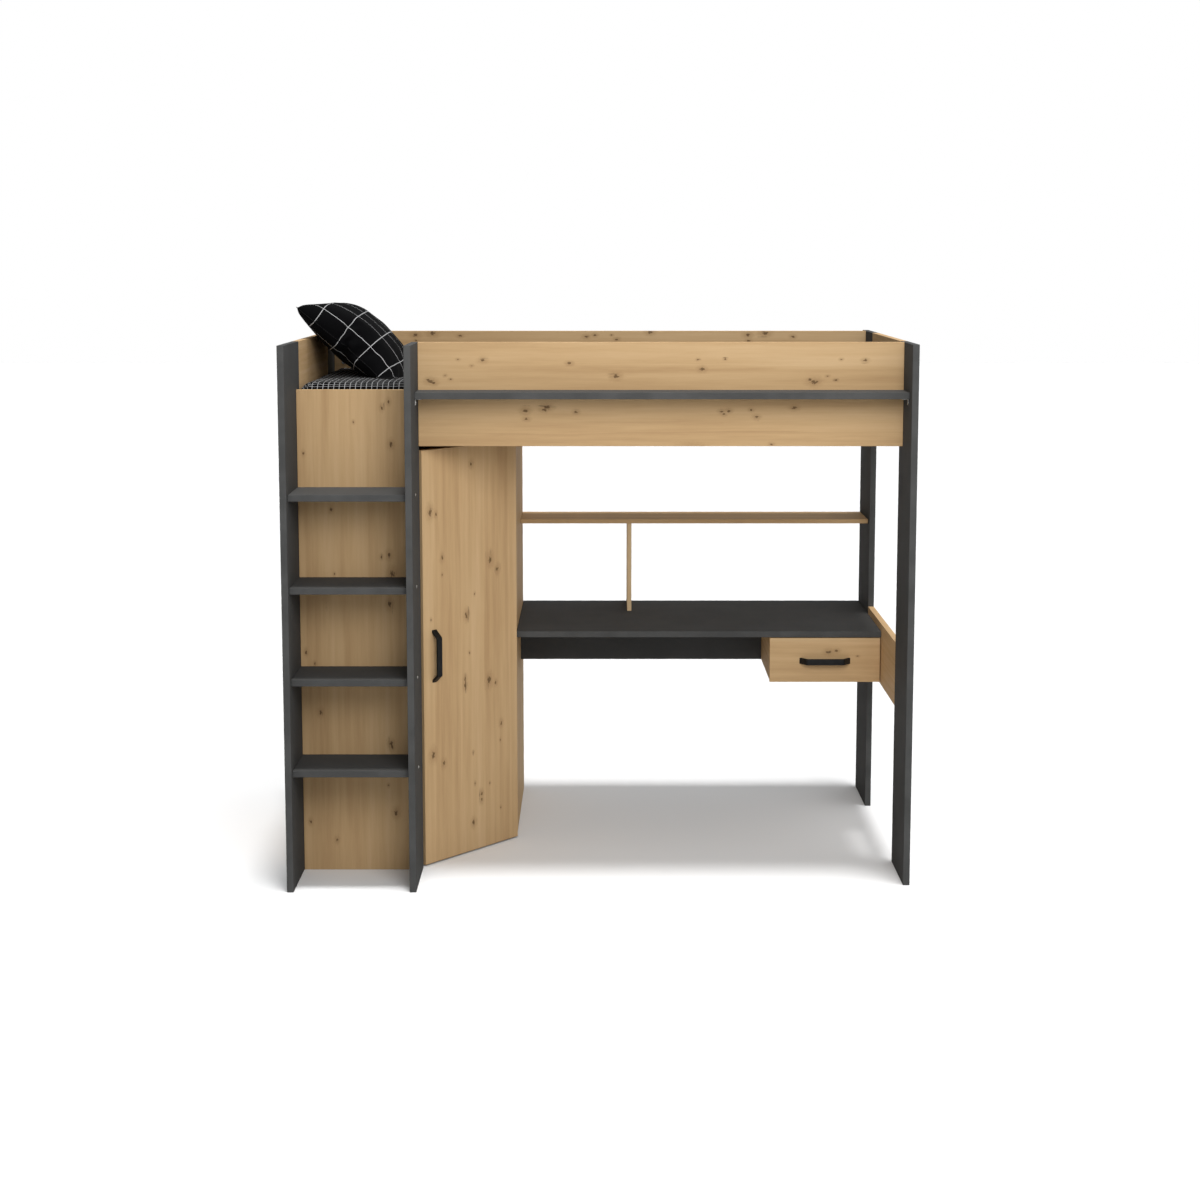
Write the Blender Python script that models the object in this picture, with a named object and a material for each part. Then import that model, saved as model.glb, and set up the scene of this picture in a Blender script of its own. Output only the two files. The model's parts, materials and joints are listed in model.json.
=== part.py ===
"""A loft bed over a desk and a corner wardrobe, in flat boards with edged sides.

Metres, +Z up, front towards -Y. The origin is on the floor, at the centre of the
outer box. Depths are counted back from the front plane and turned into Y by depth().
"""

import math

import bmesh
import bpy
from mathutils import Matrix, Vector

# Outer size and boards
LENGTH = 2.046
DEPTH = 1.266
HEIGHT = 1.785
BOARD = 0.022
THIN_BOARD = 0.016
RAIL_BOARD = 0.018
EDGE_RADIUS = 0.0008
SEAM = 0.0003

# Posts and the stepped end, as depths from the front plane
STEP_SIDE_DEPTH = 0.310
STEP_BAY_WIDTH = 0.379
RAIL_FRONT = 0.244
RAIL_REAR = 1.189
RIGHT_POST_FRONT = 0.072
RIGHT_POST_DEPTH = 0.253
BACK_POST_DEPTH = 0.270
STEP_COUNT = 4
FIRST_STEP_TOP = 0.400
STEP_RISE = 0.302
STEP_NOSE = 0.027
STEP_BACK_FRONT = 0.238
STEP_BACK_TOP = 1.629

# Bed box
BED_UNDERSIDE = 1.441
RAIL_JOINT = 1.617
FRONT_SHELF_TOP = 1.628
FRONT_SHELF_FRONT = 0.118
BEARER = 0.025
BEARER_BOTTOM = 1.447
SLAT_COUNT = 14
SLAT_WIDTH = 0.070
SLAT_THICKNESS = 0.016
TAPE_WIDTH = 0.030
TAPE_THICKNESS = 0.0015
MATTRESS_LENGTH = 1.990
MATTRESS_WIDTH = 0.893
MATTRESS_THICKNESS = 0.139
MATTRESS_ROUNDING = 0.028

# Pillow, leaning on the left end of the bed
PILLOW_LEAN = 0.466
PILLOW_WIDTH = 0.640
PILLOW_THICKNESS = 0.165
PILLOW_ANGLE = math.radians(34.5)
PILLOW_CENTRE = (-0.862, 0.800, 1.763)

# Desk
DESK_LEFT = -0.297
DESK_FRONT = 0.651
DESK_TOP = 0.739
DESK_BACK_FRONT = 1.018
DESK_BACK_BOTTOM = 0.560
DESK_END_BOTTOM = 0.547
DESK_END_TOP = 0.765
DESK_SHELF_TOP = 1.088
DESK_SHELF_FRONT = 1.037
DESK_SHELF_REAR = 1.253
DIVIDER_LEFT = 0.102

# Drawer under the right end of the desk
DRAWER_LEFT = 0.605
DRAWER_RIGHT = 0.998
DRAWER_BOTTOM = 0.555
DRAWER_TOP = 0.7145
RUNNER_GAP = 0.013
DRAWER_SIDE = 0.012
DRAWER_BOX_LENGTH = 0.333
DRAWER_BOX_BOTTOM = 0.578
DRAWER_BOX_TOP = 0.690
DRAWER_BASE = 0.004
RUNNER_LENGTH = 0.300
RUNNER_HEIGHT = 0.030
RUNNER_SHEET = 0.0014

# Corner wardrobe; the door's two outer corners are in plan, as X and depth
DOOR_LEFT_CORNER = (-0.593, 0.268)
DOOR_RIGHT_CORNER = (-0.294, 0.599)
DOOR_BOTTOM = 0.006
DOOR_TOP = 1.424
WARDROBE_SIDE_FRONT = 0.613
WARDROBE_SIDE_REAR = 1.250
WARDROBE_BACK_FRONT = 1.055
WARDROBE_SHELF_TOP = 1.196
HINGE_HEIGHTS = (0.110, 0.715, 1.320)
CUP_RADIUS = 0.0175
CUP_DEPTH = 0.0115
CUP_RIM_RADIUS = 0.0200
CUP_RIM_HEIGHT = 0.0015
CUP_FROM_EDGE = 0.022
HANGING_RAIL_HEIGHT = 1.120
HANGING_RAIL_DEPTH = 0.800
HANGING_RAIL_RADIUS = 0.0125

# Bow handles
HANDLE_LENGTH = 0.182
HANDLE_BAR = 0.149
HANDLE_REACH = 0.028
HANDLE_WIDTH = 0.022
HANDLE_BAND = 0.009
DOOR_HANDLE_FROM_EDGE = 0.050
DOOR_HANDLE_HEIGHT = 0.722
DRAWER_HANDLE_HEIGHT = 0.632

# Small fittings
SCREW_HEAD_RADIUS = 0.0050
SCREW_HEAD_HEIGHT = 0.0016
SCREW_DEPTH = 0.118
BRACKET_LEG = 0.020
BRACKET_WIDTH = 0.016
BRACKET_SHEET = 0.002
BRACKET_DEPTH = 0.145

# Lines that the sizes above give
OUTSIDE = LENGTH / 2
INSIDE = OUTSIDE - BOARD
STEP_SIDE_LEFT = -INSIDE + STEP_BAY_WIDTH
BAY_RIGHT = STEP_SIDE_LEFT + BOARD
RAIL_INNER = RAIL_FRONT + RAIL_BOARD
REAR_RAIL_INNER = RAIL_REAR - RAIL_BOARD
RIGHT_POST_REAR = RIGHT_POST_FRONT + RIGHT_POST_DEPTH
BACK_POST_FRONT = DEPTH - BACK_POST_DEPTH
SLAT_BOTTOM = BEARER_BOTTOM + BEARER
MATTRESS_BOTTOM = SLAT_BOTTOM + SLAT_THICKNESS + SEAM
DESK_UNDERSIDE = DESK_TOP - BOARD
DRAWER_REAR = DESK_FRONT + THIN_BOARD + DRAWER_BOX_LENGTH
HOUSING_LEFT_INNER = DRAWER_LEFT + THIN_BOARD
HOUSING_RIGHT_INNER = INSIDE - THIN_BOARD
WARDROBE_SIDE_INNER = DESK_LEFT - THIN_BOARD

# Colours, as red, green and blue in linear light
ANTHRACITE = (0.060, 0.060, 0.057)
OAK = (0.520, 0.350, 0.185)
PINE = (0.620, 0.440, 0.250)
ZINC = (0.600, 0.600, 0.590)
BLACK = (0.012, 0.012, 0.012)
CLOTH = (0.010, 0.010, 0.011)
WHITE = (0.700, 0.700, 0.680)


def clear_scene():
    for item in list(bpy.data.objects):
        bpy.data.objects.remove(item, do_unlink=True)


def depth(distance):
    """Y of a point that lies this far behind the front plane."""
    return distance - DEPTH / 2


def finish(name, colour, roughness, metallic=0.0):
    material = bpy.data.materials.new(name)
    material.use_nodes = True
    shader = material.node_tree.nodes["Principled BSDF"]
    shader.inputs["Base Color"].default_value = (*colour, 1.0)
    shader.inputs["Roughness"].default_value = roughness
    shader.inputs["Metallic"].default_value = metallic
    return material


def place(name, mesh, colour, roughness, metallic=0.0, parent=None):
    """Puts a mesh made in world coordinates into the scene, with its origin at its middle."""
    item = bpy.data.objects.new(name, mesh)
    bpy.context.collection.objects.link(item)
    mesh.materials.append(finish(name, colour, roughness, metallic))
    points = [vertex.co for vertex in mesh.vertices]
    middle = Vector([(min(p[i] for p in points) + max(p[i] for p in points)) / 2 for i in range(3)])
    origin = parent.location if parent else Vector()
    mesh.transform(Matrix.Translation(-middle))
    item.location = middle - origin
    item.parent = parent
    return item


def mesh_from(name, shape):
    bmesh.ops.recalc_face_normals(shape, faces=shape.faces)
    mesh = bpy.data.meshes.new(name)
    shape.to_mesh(mesh)
    shape.free()
    return mesh


def box_into(shape, low, high):
    """Adds a box between two corners to a bmesh."""
    size = Vector(high) - Vector(low)
    middle = (Vector(high) + Vector(low)) / 2
    made = bmesh.ops.create_cube(shape, size=1.0)
    bmesh.ops.transform(
        shape,
        matrix=Matrix.Translation(middle) @ Matrix.Diagonal((*size, 1.0)),
        verts=made["verts"],
    )


def prism_into(shape, outline, direction):
    """Adds the solid that a closed outline sweeps out along a direction to a bmesh."""
    corners = [shape.verts.new(point) for point in outline]
    bottom = shape.faces.new(corners)
    swept = bmesh.ops.extrude_face_region(shape, geom=[bottom])
    moved = [item for item in swept["geom"] if isinstance(item, bmesh.types.BMVert)]
    bmesh.ops.translate(shape, verts=moved, vec=Vector(direction))


def turned_into(shape, profile, sides, matrix):
    """Adds a solid turned about +Z to a bmesh: profile is (radius, height) from axis to axis."""
    rings = []
    for radius, height in profile:
        if radius == 0.0:
            rings.append([shape.verts.new(matrix @ Vector((0.0, 0.0, height)))])
            continue
        ring = []
        for i in range(sides):
            angle = 2 * math.pi * i / sides
            point = Vector((radius * math.cos(angle), radius * math.sin(angle), height))
            ring.append(shape.verts.new(matrix @ point))
        rings.append(ring)
    for lower, upper in zip(rings, rings[1:]):
        for i in range(sides):
            corners = [lower[i % len(lower)], lower[(i + 1) % len(lower)]]
            corners += [upper[(i + 1) % len(upper)], upper[i % len(upper)]]
            shape.faces.new(list(dict.fromkeys(corners)))


def soften(item, width, segments=1):
    bevel = item.modifiers.new("edges", "BEVEL")
    bevel.width = width
    bevel.segments = segments
    bevel.limit_method = "ANGLE"
    bevel.angle_limit = math.radians(30)


def round_off(item, sharp_degrees=40):
    item.data.shade_smooth()
    item.data.set_sharp_from_angle(angle=math.radians(sharp_degrees))


def cut(item, cutter):
    """Takes one object out of another and keeps the cutter as a hidden guide."""
    tool = item.modifiers.new("cut", "BOOLEAN")
    tool.operation = "DIFFERENCE"
    tool.solver = "EXACT"
    tool.object = cutter
    cutter.hide_render = True
    cutter.display_type = "WIRE"


def board(name, x, deep, z, colour, parent=None):
    """An edged board. It meets its neighbours face to face, less half a seam on each side."""
    half = SEAM / 2
    foot = z[0] if z[0] == 0.0 else z[0] + half
    low = (x[0] + half, depth(deep[0]) + half, foot)
    high = (x[1] - half, depth(deep[1]) - half, z[1] - half)
    shape = bmesh.new()
    box_into(shape, low, high)
    roughness = 0.45 if colour == ANTHRACITE else 0.55
    item = place(name, mesh_from(name, shape), colour, roughness, parent=parent)
    soften(item, EDGE_RADIUS)
    return item


def uprights():
    """The five floor-to-top boards that carry the bed."""
    full = (0.0, HEIGHT)
    left = (-OUTSIDE, -INSIDE)
    right = (INSIDE, OUTSIDE)
    board("step_side_outer", left, (0.0, STEP_SIDE_DEPTH), full, ANTHRACITE)
    board("step_side_inner", (STEP_SIDE_LEFT, BAY_RIGHT), (0.0, RAIL_INNER), full, ANTHRACITE)
    board("post_front_right", right, (RIGHT_POST_FRONT, RIGHT_POST_REAR), full, ANTHRACITE)
    board("post_back_right", right, (BACK_POST_FRONT, DEPTH), full, ANTHRACITE)
    board("post_back_left", left, (BACK_POST_FRONT, DEPTH), full, ANTHRACITE)


def steps():
    """Four treads between the two step sides, the board behind them and their screw heads."""
    bay = (-INSIDE, STEP_SIDE_LEFT)
    for i in range(STEP_COUNT):
        top = FIRST_STEP_TOP + i * STEP_RISE
        tread = (top - BOARD, top)
        board(f"step_{i + 1}", bay, (STEP_NOSE, STEP_BACK_FRONT), tread, ANTHRACITE)
        middle = Vector((BAY_RIGHT + SEAM / 2, depth(SCREW_DEPTH), top - BOARD / 2))
        turn = Matrix.Translation(middle) @ Matrix.Rotation(math.pi / 2, 4, "Y")
        profile = [(0.0, 0.0), (SCREW_HEAD_RADIUS, 0.0), (SCREW_HEAD_RADIUS, SCREW_HEAD_HEIGHT / 2)]
        profile += [(0.7 * SCREW_HEAD_RADIUS, SCREW_HEAD_HEIGHT), (0.0, SCREW_HEAD_HEIGHT)]
        shape = bmesh.new()
        turned_into(shape, profile, 16, turn)
        name = f"step_screw_{i + 1}"
        round_off(place(name, mesh_from(name, shape), ZINC, 0.35, 1.0))
    rear = STEP_BACK_FRONT + THIN_BOARD
    board("step_back_panel", bay, (STEP_BACK_FRONT, rear), (0.0, STEP_BACK_TOP), OAK)


def bed_box():
    """Side rails in two boards each, the end panels and the shelf in front of the bed."""
    front_span = (BAY_RIGHT, INSIDE)
    rear_span = (-INSIDE, INSIDE)
    lower = (BED_UNDERSIDE, RAIL_JOINT)
    upper = (RAIL_JOINT, HEIGHT)
    front = (RAIL_FRONT, RAIL_INNER)
    rear = (REAR_RAIL_INNER, RAIL_REAR)
    board("bed_rail_front", front_span, front, lower, OAK)
    board("guard_rail_front", front_span, front, upper, OAK)
    board("bed_rail_back", rear_span, rear, lower, OAK)
    board("guard_rail_back", rear_span, rear, upper, OAK)
    end = (BED_UNDERSIDE, HEIGHT)
    left_depth = (STEP_SIDE_DEPTH, BACK_POST_FRONT)
    board("end_panel_left", (-OUTSIDE, -INSIDE), left_depth, end, OAK)
    right_depth = (RIGHT_POST_REAR, BACK_POST_FRONT)
    board("end_panel_right", (INSIDE, OUTSIDE), right_depth, end, OAK)
    shelf = (FRONT_SHELF_TOP - BOARD, FRONT_SHELF_TOP)
    board("front_shelf", front_span, (FRONT_SHELF_FRONT, RAIL_FRONT), shelf, ANTHRACITE)
    for name, wall, inward in (
        ("shelf_bracket_left", BAY_RIGHT, 1),
        ("shelf_bracket_right", INSIDE, -1),
    ):
        x = wall + inward * SEAM
        y = depth(BRACKET_DEPTH - BRACKET_WIDTH / 2)
        z = FRONT_SHELF_TOP - BOARD - SEAM
        legs = [(0.0, 0.0), (BRACKET_LEG, 0.0), (BRACKET_LEG, -BRACKET_SHEET)]
        legs += [(BRACKET_SHEET, -BRACKET_SHEET), (BRACKET_SHEET, -BRACKET_LEG), (0.0, -BRACKET_LEG)]
        outline = [(x + inward * across, y, z + down) for across, down in legs]
        shape = bmesh.new()
        prism_into(shape, outline, (0.0, BRACKET_WIDTH, 0.0))
        place(name, mesh_from(name, shape), ZINC, 0.35, 1.0)


def bed_base():
    """Two bearers and a roll of slats held at their pitch by two tapes."""
    span = (-INSIDE, INSIDE)
    height = (BEARER_BOTTOM, SLAT_BOTTOM)
    board("slat_bearer_front", span, (RAIL_INNER, RAIL_INNER + BEARER), height, PINE)
    board("slat_bearer_back", span, (REAR_RAIL_INNER - BEARER, REAR_RAIL_INNER), height, PINE)
    slat_front = depth(RAIL_INNER + 0.006)
    slat_rear = depth(REAR_RAIL_INNER - 0.006)
    low_z = SLAT_BOTTOM + SEAM / 2
    high_z = low_z + SLAT_THICKNESS - SEAM
    first = -INSIDE + 0.010
    pitch = (2 * (INSIDE - 0.010) - SLAT_WIDTH) / (SLAT_COUNT - 1)
    shape = bmesh.new()
    for deep in (0.46, 0.97):
        y = depth(deep)
        low = (first + 0.010, y - TAPE_WIDTH / 2, low_z - TAPE_THICKNESS)
        high = (-first - 0.010, y + TAPE_WIDTH / 2, low_z + 0.0005)
        box_into(shape, low, high)
    tapes = place("slat_roll", mesh_from("slat_roll", shape), PINE, 0.6)
    shape = bmesh.new()
    for i in range(SLAT_COUNT):
        left = first + i * pitch
        box_into(shape, (left, slat_front, low_z), (left + SLAT_WIDTH, slat_rear, high_z))
    slats = place("slat_guide", mesh_from("slat_guide", shape), PINE, 0.6)
    joined = tapes.modifiers.new("slats", "BOOLEAN")
    joined.operation = "UNION"
    joined.solver = "EXACT"
    joined.object = slats
    slats.hide_render = True
    slats.display_type = "WIRE"


def mattress():
    middle = (RAIL_INNER + REAR_RAIL_INNER) / 2
    low = (-MATTRESS_LENGTH / 2, depth(middle - MATTRESS_WIDTH / 2), MATTRESS_BOTTOM)
    high = (MATTRESS_LENGTH / 2, depth(middle + MATTRESS_WIDTH / 2), MATTRESS_BOTTOM + MATTRESS_THICKNESS)
    shape = bmesh.new()
    box_into(shape, low, high)
    item = place("mattress", mesh_from("mattress", shape), CLOTH, 0.9)
    soften(item, MATTRESS_ROUNDING, 3)


def pillow():
    """A lens-shaped cushion leaning on the left end panel, cut off flush with the bed's side."""
    across, along = 10, 10
    shape = bmesh.new()
    turn = Matrix.Translation((PILLOW_CENTRE[0], depth(PILLOW_CENTRE[1]), PILLOW_CENTRE[2]))
    turn = turn @ Matrix.Rotation(PILLOW_ANGLE, 4, "Y")
    sheets = []
    for side in (1, -1):
        rows = []
        for i in range(along + 1):
            u = i / along
            row = []
            for j in range(across + 1):
                v = j / across
                fat = math.sqrt(math.sin(math.pi * u) * math.sin(math.pi * v))
                swell = 0.62 if side > 0 else 0.38
                point = Vector((
                    (u - 0.5) * PILLOW_LEAN,
                    (v - 0.5) * PILLOW_WIDTH,
                    side * swell * PILLOW_THICKNESS * fat,
                ))
                row.append(shape.verts.new(turn @ point))
            rows.append(row)
        sheets.append(rows)
        for i in range(along):
            for j in range(across):
                corners = [rows[i][j], rows[i + 1][j], rows[i + 1][j + 1], rows[i][j + 1]]
                shape.faces.new(corners if side > 0 else corners[::-1])
    bmesh.ops.remove_doubles(shape, verts=shape.verts, dist=0.00005)
    flush = Vector((-OUTSIDE + 0.003, 0.0, 0.0))
    geometry = [*shape.verts, *shape.edges, *shape.faces]
    made = bmesh.ops.bisect_plane(
        shape, geom=geometry, plane_co=flush, plane_no=(-1, 0, 0), clear_outer=True
    )
    rim = [item for item in made["geom_cut"] if isinstance(item, bmesh.types.BMEdge)]
    bmesh.ops.contextual_create(shape, geom=rim)
    item = place("pillow", mesh_from("pillow", shape), CLOTH, 0.9)
    round_off(item, 60)


def desk():
    """The desktop between the wardrobe and the right end, with its back panel and shelf."""
    span = (DESK_LEFT, INSIDE)
    board("desktop", span, (DESK_FRONT, DEPTH), (DESK_UNDERSIDE, DESK_TOP), ANTHRACITE)
    back = (DESK_BACK_FRONT, DESK_BACK_FRONT + BOARD)
    board("desk_back_panel", span, back, (DESK_BACK_BOTTOM, DESK_UNDERSIDE), ANTHRACITE)
    end_depth = (RIGHT_POST_REAR, BACK_POST_FRONT)
    board("desk_end_panel", (INSIDE, OUTSIDE), end_depth, (DESK_END_BOTTOM, DESK_END_TOP), OAK)
    shelf_depth = (DESK_SHELF_FRONT, DESK_SHELF_REAR)
    shelf_bottom = DESK_SHELF_TOP - THIN_BOARD
    board("desk_shelf", span, shelf_depth, (shelf_bottom, DESK_SHELF_TOP), OAK)
    divider = (DIVIDER_LEFT, DIVIDER_LEFT + THIN_BOARD)
    divider_depth = (DESK_SHELF_FRONT + 0.008, DESK_SHELF_REAR)
    board("desk_shelf_divider", divider, divider_depth, (DESK_TOP, shelf_bottom), OAK)


def runner_outline(side, wall, profile):
    """A runner's section in the XZ plane, on the wall at that X and facing the drawer."""
    y = depth(DESK_FRONT + THIN_BOARD + 0.006)
    z = (DRAWER_BOX_BOTTOM + DRAWER_BOX_TOP) / 2
    return [(wall + side * out, y, z + up) for out, up in profile]


def drawer():
    """The housing sides, the runners and the sliding drawer box."""
    housing = (DESK_FRONT + THIN_BOARD, DESK_BACK_FRONT)
    height = (DESK_BACK_BOTTOM, DESK_UNDERSIDE)
    board("drawer_housing_left", (DRAWER_LEFT, HOUSING_LEFT_INNER), housing, height, OAK)
    board("drawer_housing_right", (HOUSING_RIGHT_INNER, INSIDE), housing, height, OAK)

    slide = bpy.data.objects.new("drawer_slide", None)
    slide.location = ((DRAWER_LEFT + DRAWER_RIGHT) / 2, depth(DESK_FRONT), DRAWER_BOX_BOTTOM)
    bpy.context.collection.objects.link(slide)
    front = (DESK_FRONT, DESK_FRONT + THIN_BOARD)
    face = (DRAWER_BOTTOM, DRAWER_TOP)
    board("drawer_front", (DRAWER_LEFT, DRAWER_RIGHT), front, face, OAK, slide)
    left = HOUSING_LEFT_INNER + RUNNER_GAP
    right = HOUSING_RIGHT_INNER - RUNNER_GAP
    length = (front[1], DRAWER_REAR)
    box_height = (DRAWER_BOX_BOTTOM, DRAWER_BOX_TOP)
    inside = (left + DRAWER_SIDE, right - DRAWER_SIDE)
    board("drawer_side_left", (left, inside[0]), length, box_height, OAK, slide)
    board("drawer_side_right", (inside[1], right), length, box_height, OAK, slide)
    back = (DRAWER_REAR - DRAWER_SIDE, DRAWER_REAR)
    board("drawer_back", inside, back, box_height, OAK, slide)
    base = (DRAWER_BOX_BOTTOM + 0.008, DRAWER_BOX_BOTTOM + 0.008 + DRAWER_BASE)
    board("drawer_bottom", inside, (front[1], back[0]), base, OAK, slide)

    half = RUNNER_HEIGHT / 2
    sheet = RUNNER_SHEET
    lip = 0.0075
    channel = [(SEAM, -half), (lip, -half), (lip, sheet - half), (SEAM + sheet, sheet - half)]
    channel += [(SEAM + sheet, half - sheet), (lip, half - sheet), (lip, half), (SEAM, half)]
    plate = half - 0.003
    tongue = 0.0100
    rail = [(SEAM, -plate), (SEAM + sheet, -plate), (SEAM + sheet, -0.006), (tongue, -0.006)]
    rail += [(tongue, 0.006), (SEAM + sheet, 0.006), (SEAM + sheet, plate), (SEAM, plate)]
    for name, side, wall, profile, parent in (
        ("runner_fixed_left", 1, HOUSING_LEFT_INNER, channel, None),
        ("runner_fixed_right", -1, HOUSING_RIGHT_INNER, channel, None),
        ("runner_moving_left", -1, left, rail, slide),
        ("runner_moving_right", 1, right, rail, slide),
    ):
        shape = bmesh.new()
        prism_into(shape, runner_outline(side, wall, profile), (0.0, RUNNER_LENGTH, 0.0))
        place(name, mesh_from(name, shape), WHITE, 0.4, 0.6, parent)
    middle = Vector(((DRAWER_LEFT + DRAWER_RIGHT) / 2, depth(DESK_FRONT), DRAWER_HANDLE_HEIGHT))
    handle("drawer_handle", middle, Vector((1, 0, 0)), Vector((0, -1, 0)), slide)


def handle(name, middle, along, out, parent):
    """A bow of flat bar with cut-off corners, on a face that looks along out."""
    half, bar, reach, band = HANDLE_LENGTH / 2, HANDLE_BAR / 2, HANDLE_REACH, HANDLE_BAND
    outline = [(-half, 0), (-bar, reach), (bar, reach), (half, 0)]
    outline += [(half - 0.012, 0), (bar - 0.007, reach - band), (0.007 - bar, reach - band), (0.012 - half, 0)]
    wide = along.cross(out)
    start = middle + out * SEAM / 2 - wide * HANDLE_WIDTH / 2
    shape = bmesh.new()
    prism_into(shape, [start + along * a + out * b for a, b in outline], wide * HANDLE_WIDTH)
    item = place(name, mesh_from(name, shape), BLACK, 0.45, 0.3, parent)
    soften(item, 0.0012)


def wardrobe():
    """The fixed boards of the wardrobe, its shelf and its hanging rail."""
    tall = (0.0, BED_UNDERSIDE)
    left_depth = (STEP_SIDE_DEPTH, BACK_POST_FRONT)
    board("wardrobe_side_left", (-OUTSIDE, -INSIDE), left_depth, tall, OAK)
    right_x = (WARDROBE_SIDE_INNER, DESK_LEFT)
    board("wardrobe_side_right", right_x, (WARDROBE_SIDE_FRONT, WARDROBE_SIDE_REAR), tall, OAK)
    back = (WARDROBE_BACK_FRONT, WARDROBE_BACK_FRONT + THIN_BOARD)
    board("wardrobe_back", (-INSIDE, WARDROBE_SIDE_INNER), back, tall, OAK)

    x_low = -INSIDE + SEAM
    x_high = WARDROBE_SIDE_INNER - SEAM
    front = STEP_BACK_FRONT + THIN_BOARD + SEAM
    rear = WARDROBE_BACK_FRONT - SEAM
    corner, along, out = door_frame()
    reach = corner.dot(out) - THIN_BOARD - 0.010
    cut_left = (reach - depth(front) * out.y) / out.x
    cut_rear = (reach - x_high * out.x) / out.y
    z = WARDROBE_SHELF_TOP - THIN_BOARD
    outline = [(x_low, depth(front), z), (cut_left, depth(front), z), (x_high, cut_rear, z)]
    outline += [(x_high, depth(rear), z), (x_low, depth(rear), z)]
    shape = bmesh.new()
    prism_into(shape, outline, (0.0, 0.0, THIN_BOARD))
    soften(place("wardrobe_shelf", mesh_from("wardrobe_shelf", shape), OAK, 0.55), EDGE_RADIUS)

    flange = 0.008
    ends = (("rail_socket_left", -INSIDE + SEAM, 1), ("rail_socket_right", WARDROBE_SIDE_INNER - SEAM, -1))
    centre = Vector((0.0, depth(HANGING_RAIL_DEPTH), HANGING_RAIL_HEIGHT))
    for name, x, inward in ends:
        centre.x = x
        turn = Matrix.Translation(centre) @ Matrix.Rotation(inward * math.pi / 2, 4, "Y")
        profile = [(0.0, 0.0), (0.021, 0.0), (0.021, 0.003), (0.017, flange), (0.0, flange)]
        shape = bmesh.new()
        turned_into(shape, profile, 24, turn)
        round_off(place(name, mesh_from(name, shape), ZINC, 0.3, 1.0))
    centre.x = ends[0][1] + flange + SEAM
    length = ends[1][1] - flange - SEAM - centre.x
    turn = Matrix.Translation(centre) @ Matrix.Rotation(math.pi / 2, 4, "Y")
    radius = HANGING_RAIL_RADIUS
    shape = bmesh.new()
    turned_into(shape, [(0.0, 0.0), (radius, 0.0), (radius, length), (0.0, length)], 24, turn)
    round_off(place("hanging_rail", mesh_from("hanging_rail", shape), ZINC, 0.25, 1.0))


def door_frame():
    """The door's right outer corner, its direction towards the free edge, and its outward normal."""
    right = Vector((DOOR_RIGHT_CORNER[0], depth(DOOR_RIGHT_CORNER[1]), 0.0))
    left = Vector((DOOR_LEFT_CORNER[0], depth(DOOR_LEFT_CORNER[1]), 0.0))
    along = (left - right).normalized()
    out = along.cross(Vector((0, 0, -1)))
    return right, along, out


def wardrobe_door():
    """The slanting door, hung at its right edge on three cup hinges."""
    corner, along, out = door_frame()
    left = Vector((DOOR_LEFT_CORNER[0], depth(DOOR_LEFT_CORNER[1]), 0.0))
    pivot = bpy.data.objects.new("door_pivot", None)
    pivot.location = (corner.x, corner.y, 0.0)
    bpy.context.collection.objects.link(pivot)
    up = Vector((0, 0, 1))
    base = up * DOOR_BOTTOM
    outline = [corner + base, left + base, left - out * THIN_BOARD + base, corner - out * THIN_BOARD + base]
    shape = bmesh.new()
    prism_into(shape, outline, up * (DOOR_TOP - DOOR_BOTTOM))
    door = place("wardrobe_door", mesh_from("wardrobe_door", shape), OAK, 0.55, parent=pivot)

    basis = Matrix((along, up, -out)).transposed().to_4x4()
    pockets = bmesh.new()
    for i, height in enumerate(HINGE_HEIGHTS):
        mouth = corner + along * CUP_FROM_EDGE - out * THIN_BOARD + up * height
        turn = Matrix.Translation(mouth) @ basis
        wall, lip, deep = CUP_RADIUS, CUP_RADIUS - 0.002, CUP_DEPTH
        bore = wall + SEAM
        sunk = [(0.0, -deep - SEAM), (bore, -deep - SEAM), (bore, 0.005), (0.0, 0.005)]
        turned_into(pockets, sunk, 32, turn)
        rim, proud = CUP_RIM_RADIUS, CUP_RIM_HEIGHT
        cup = [(0.0, -deep), (wall, -deep), (wall, SEAM), (rim, SEAM), (rim, proud)]
        cup += [(lip, proud), (lip, proud - deep), (0.0, proud - deep)]
        shape = bmesh.new()
        turned_into(shape, cup, 32, turn)
        name = f"hinge_cup_{i + 1}"
        round_off(place(name, mesh_from(name, shape), ZINC, 0.3, 1.0, pivot))
        hinge_arm(f"hinge_arm_{i + 1}", height)
    cutter = place("cup_pockets", mesh_from("cup_pockets", pockets), OAK, 0.5, parent=pivot)
    cut(door, cutter)
    place_on = corner + along * ((left - corner).length - DOOR_HANDLE_FROM_EDGE)
    handle("door_handle", place_on + up * DOOR_HANDLE_HEIGHT, up, out, pivot)


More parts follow.
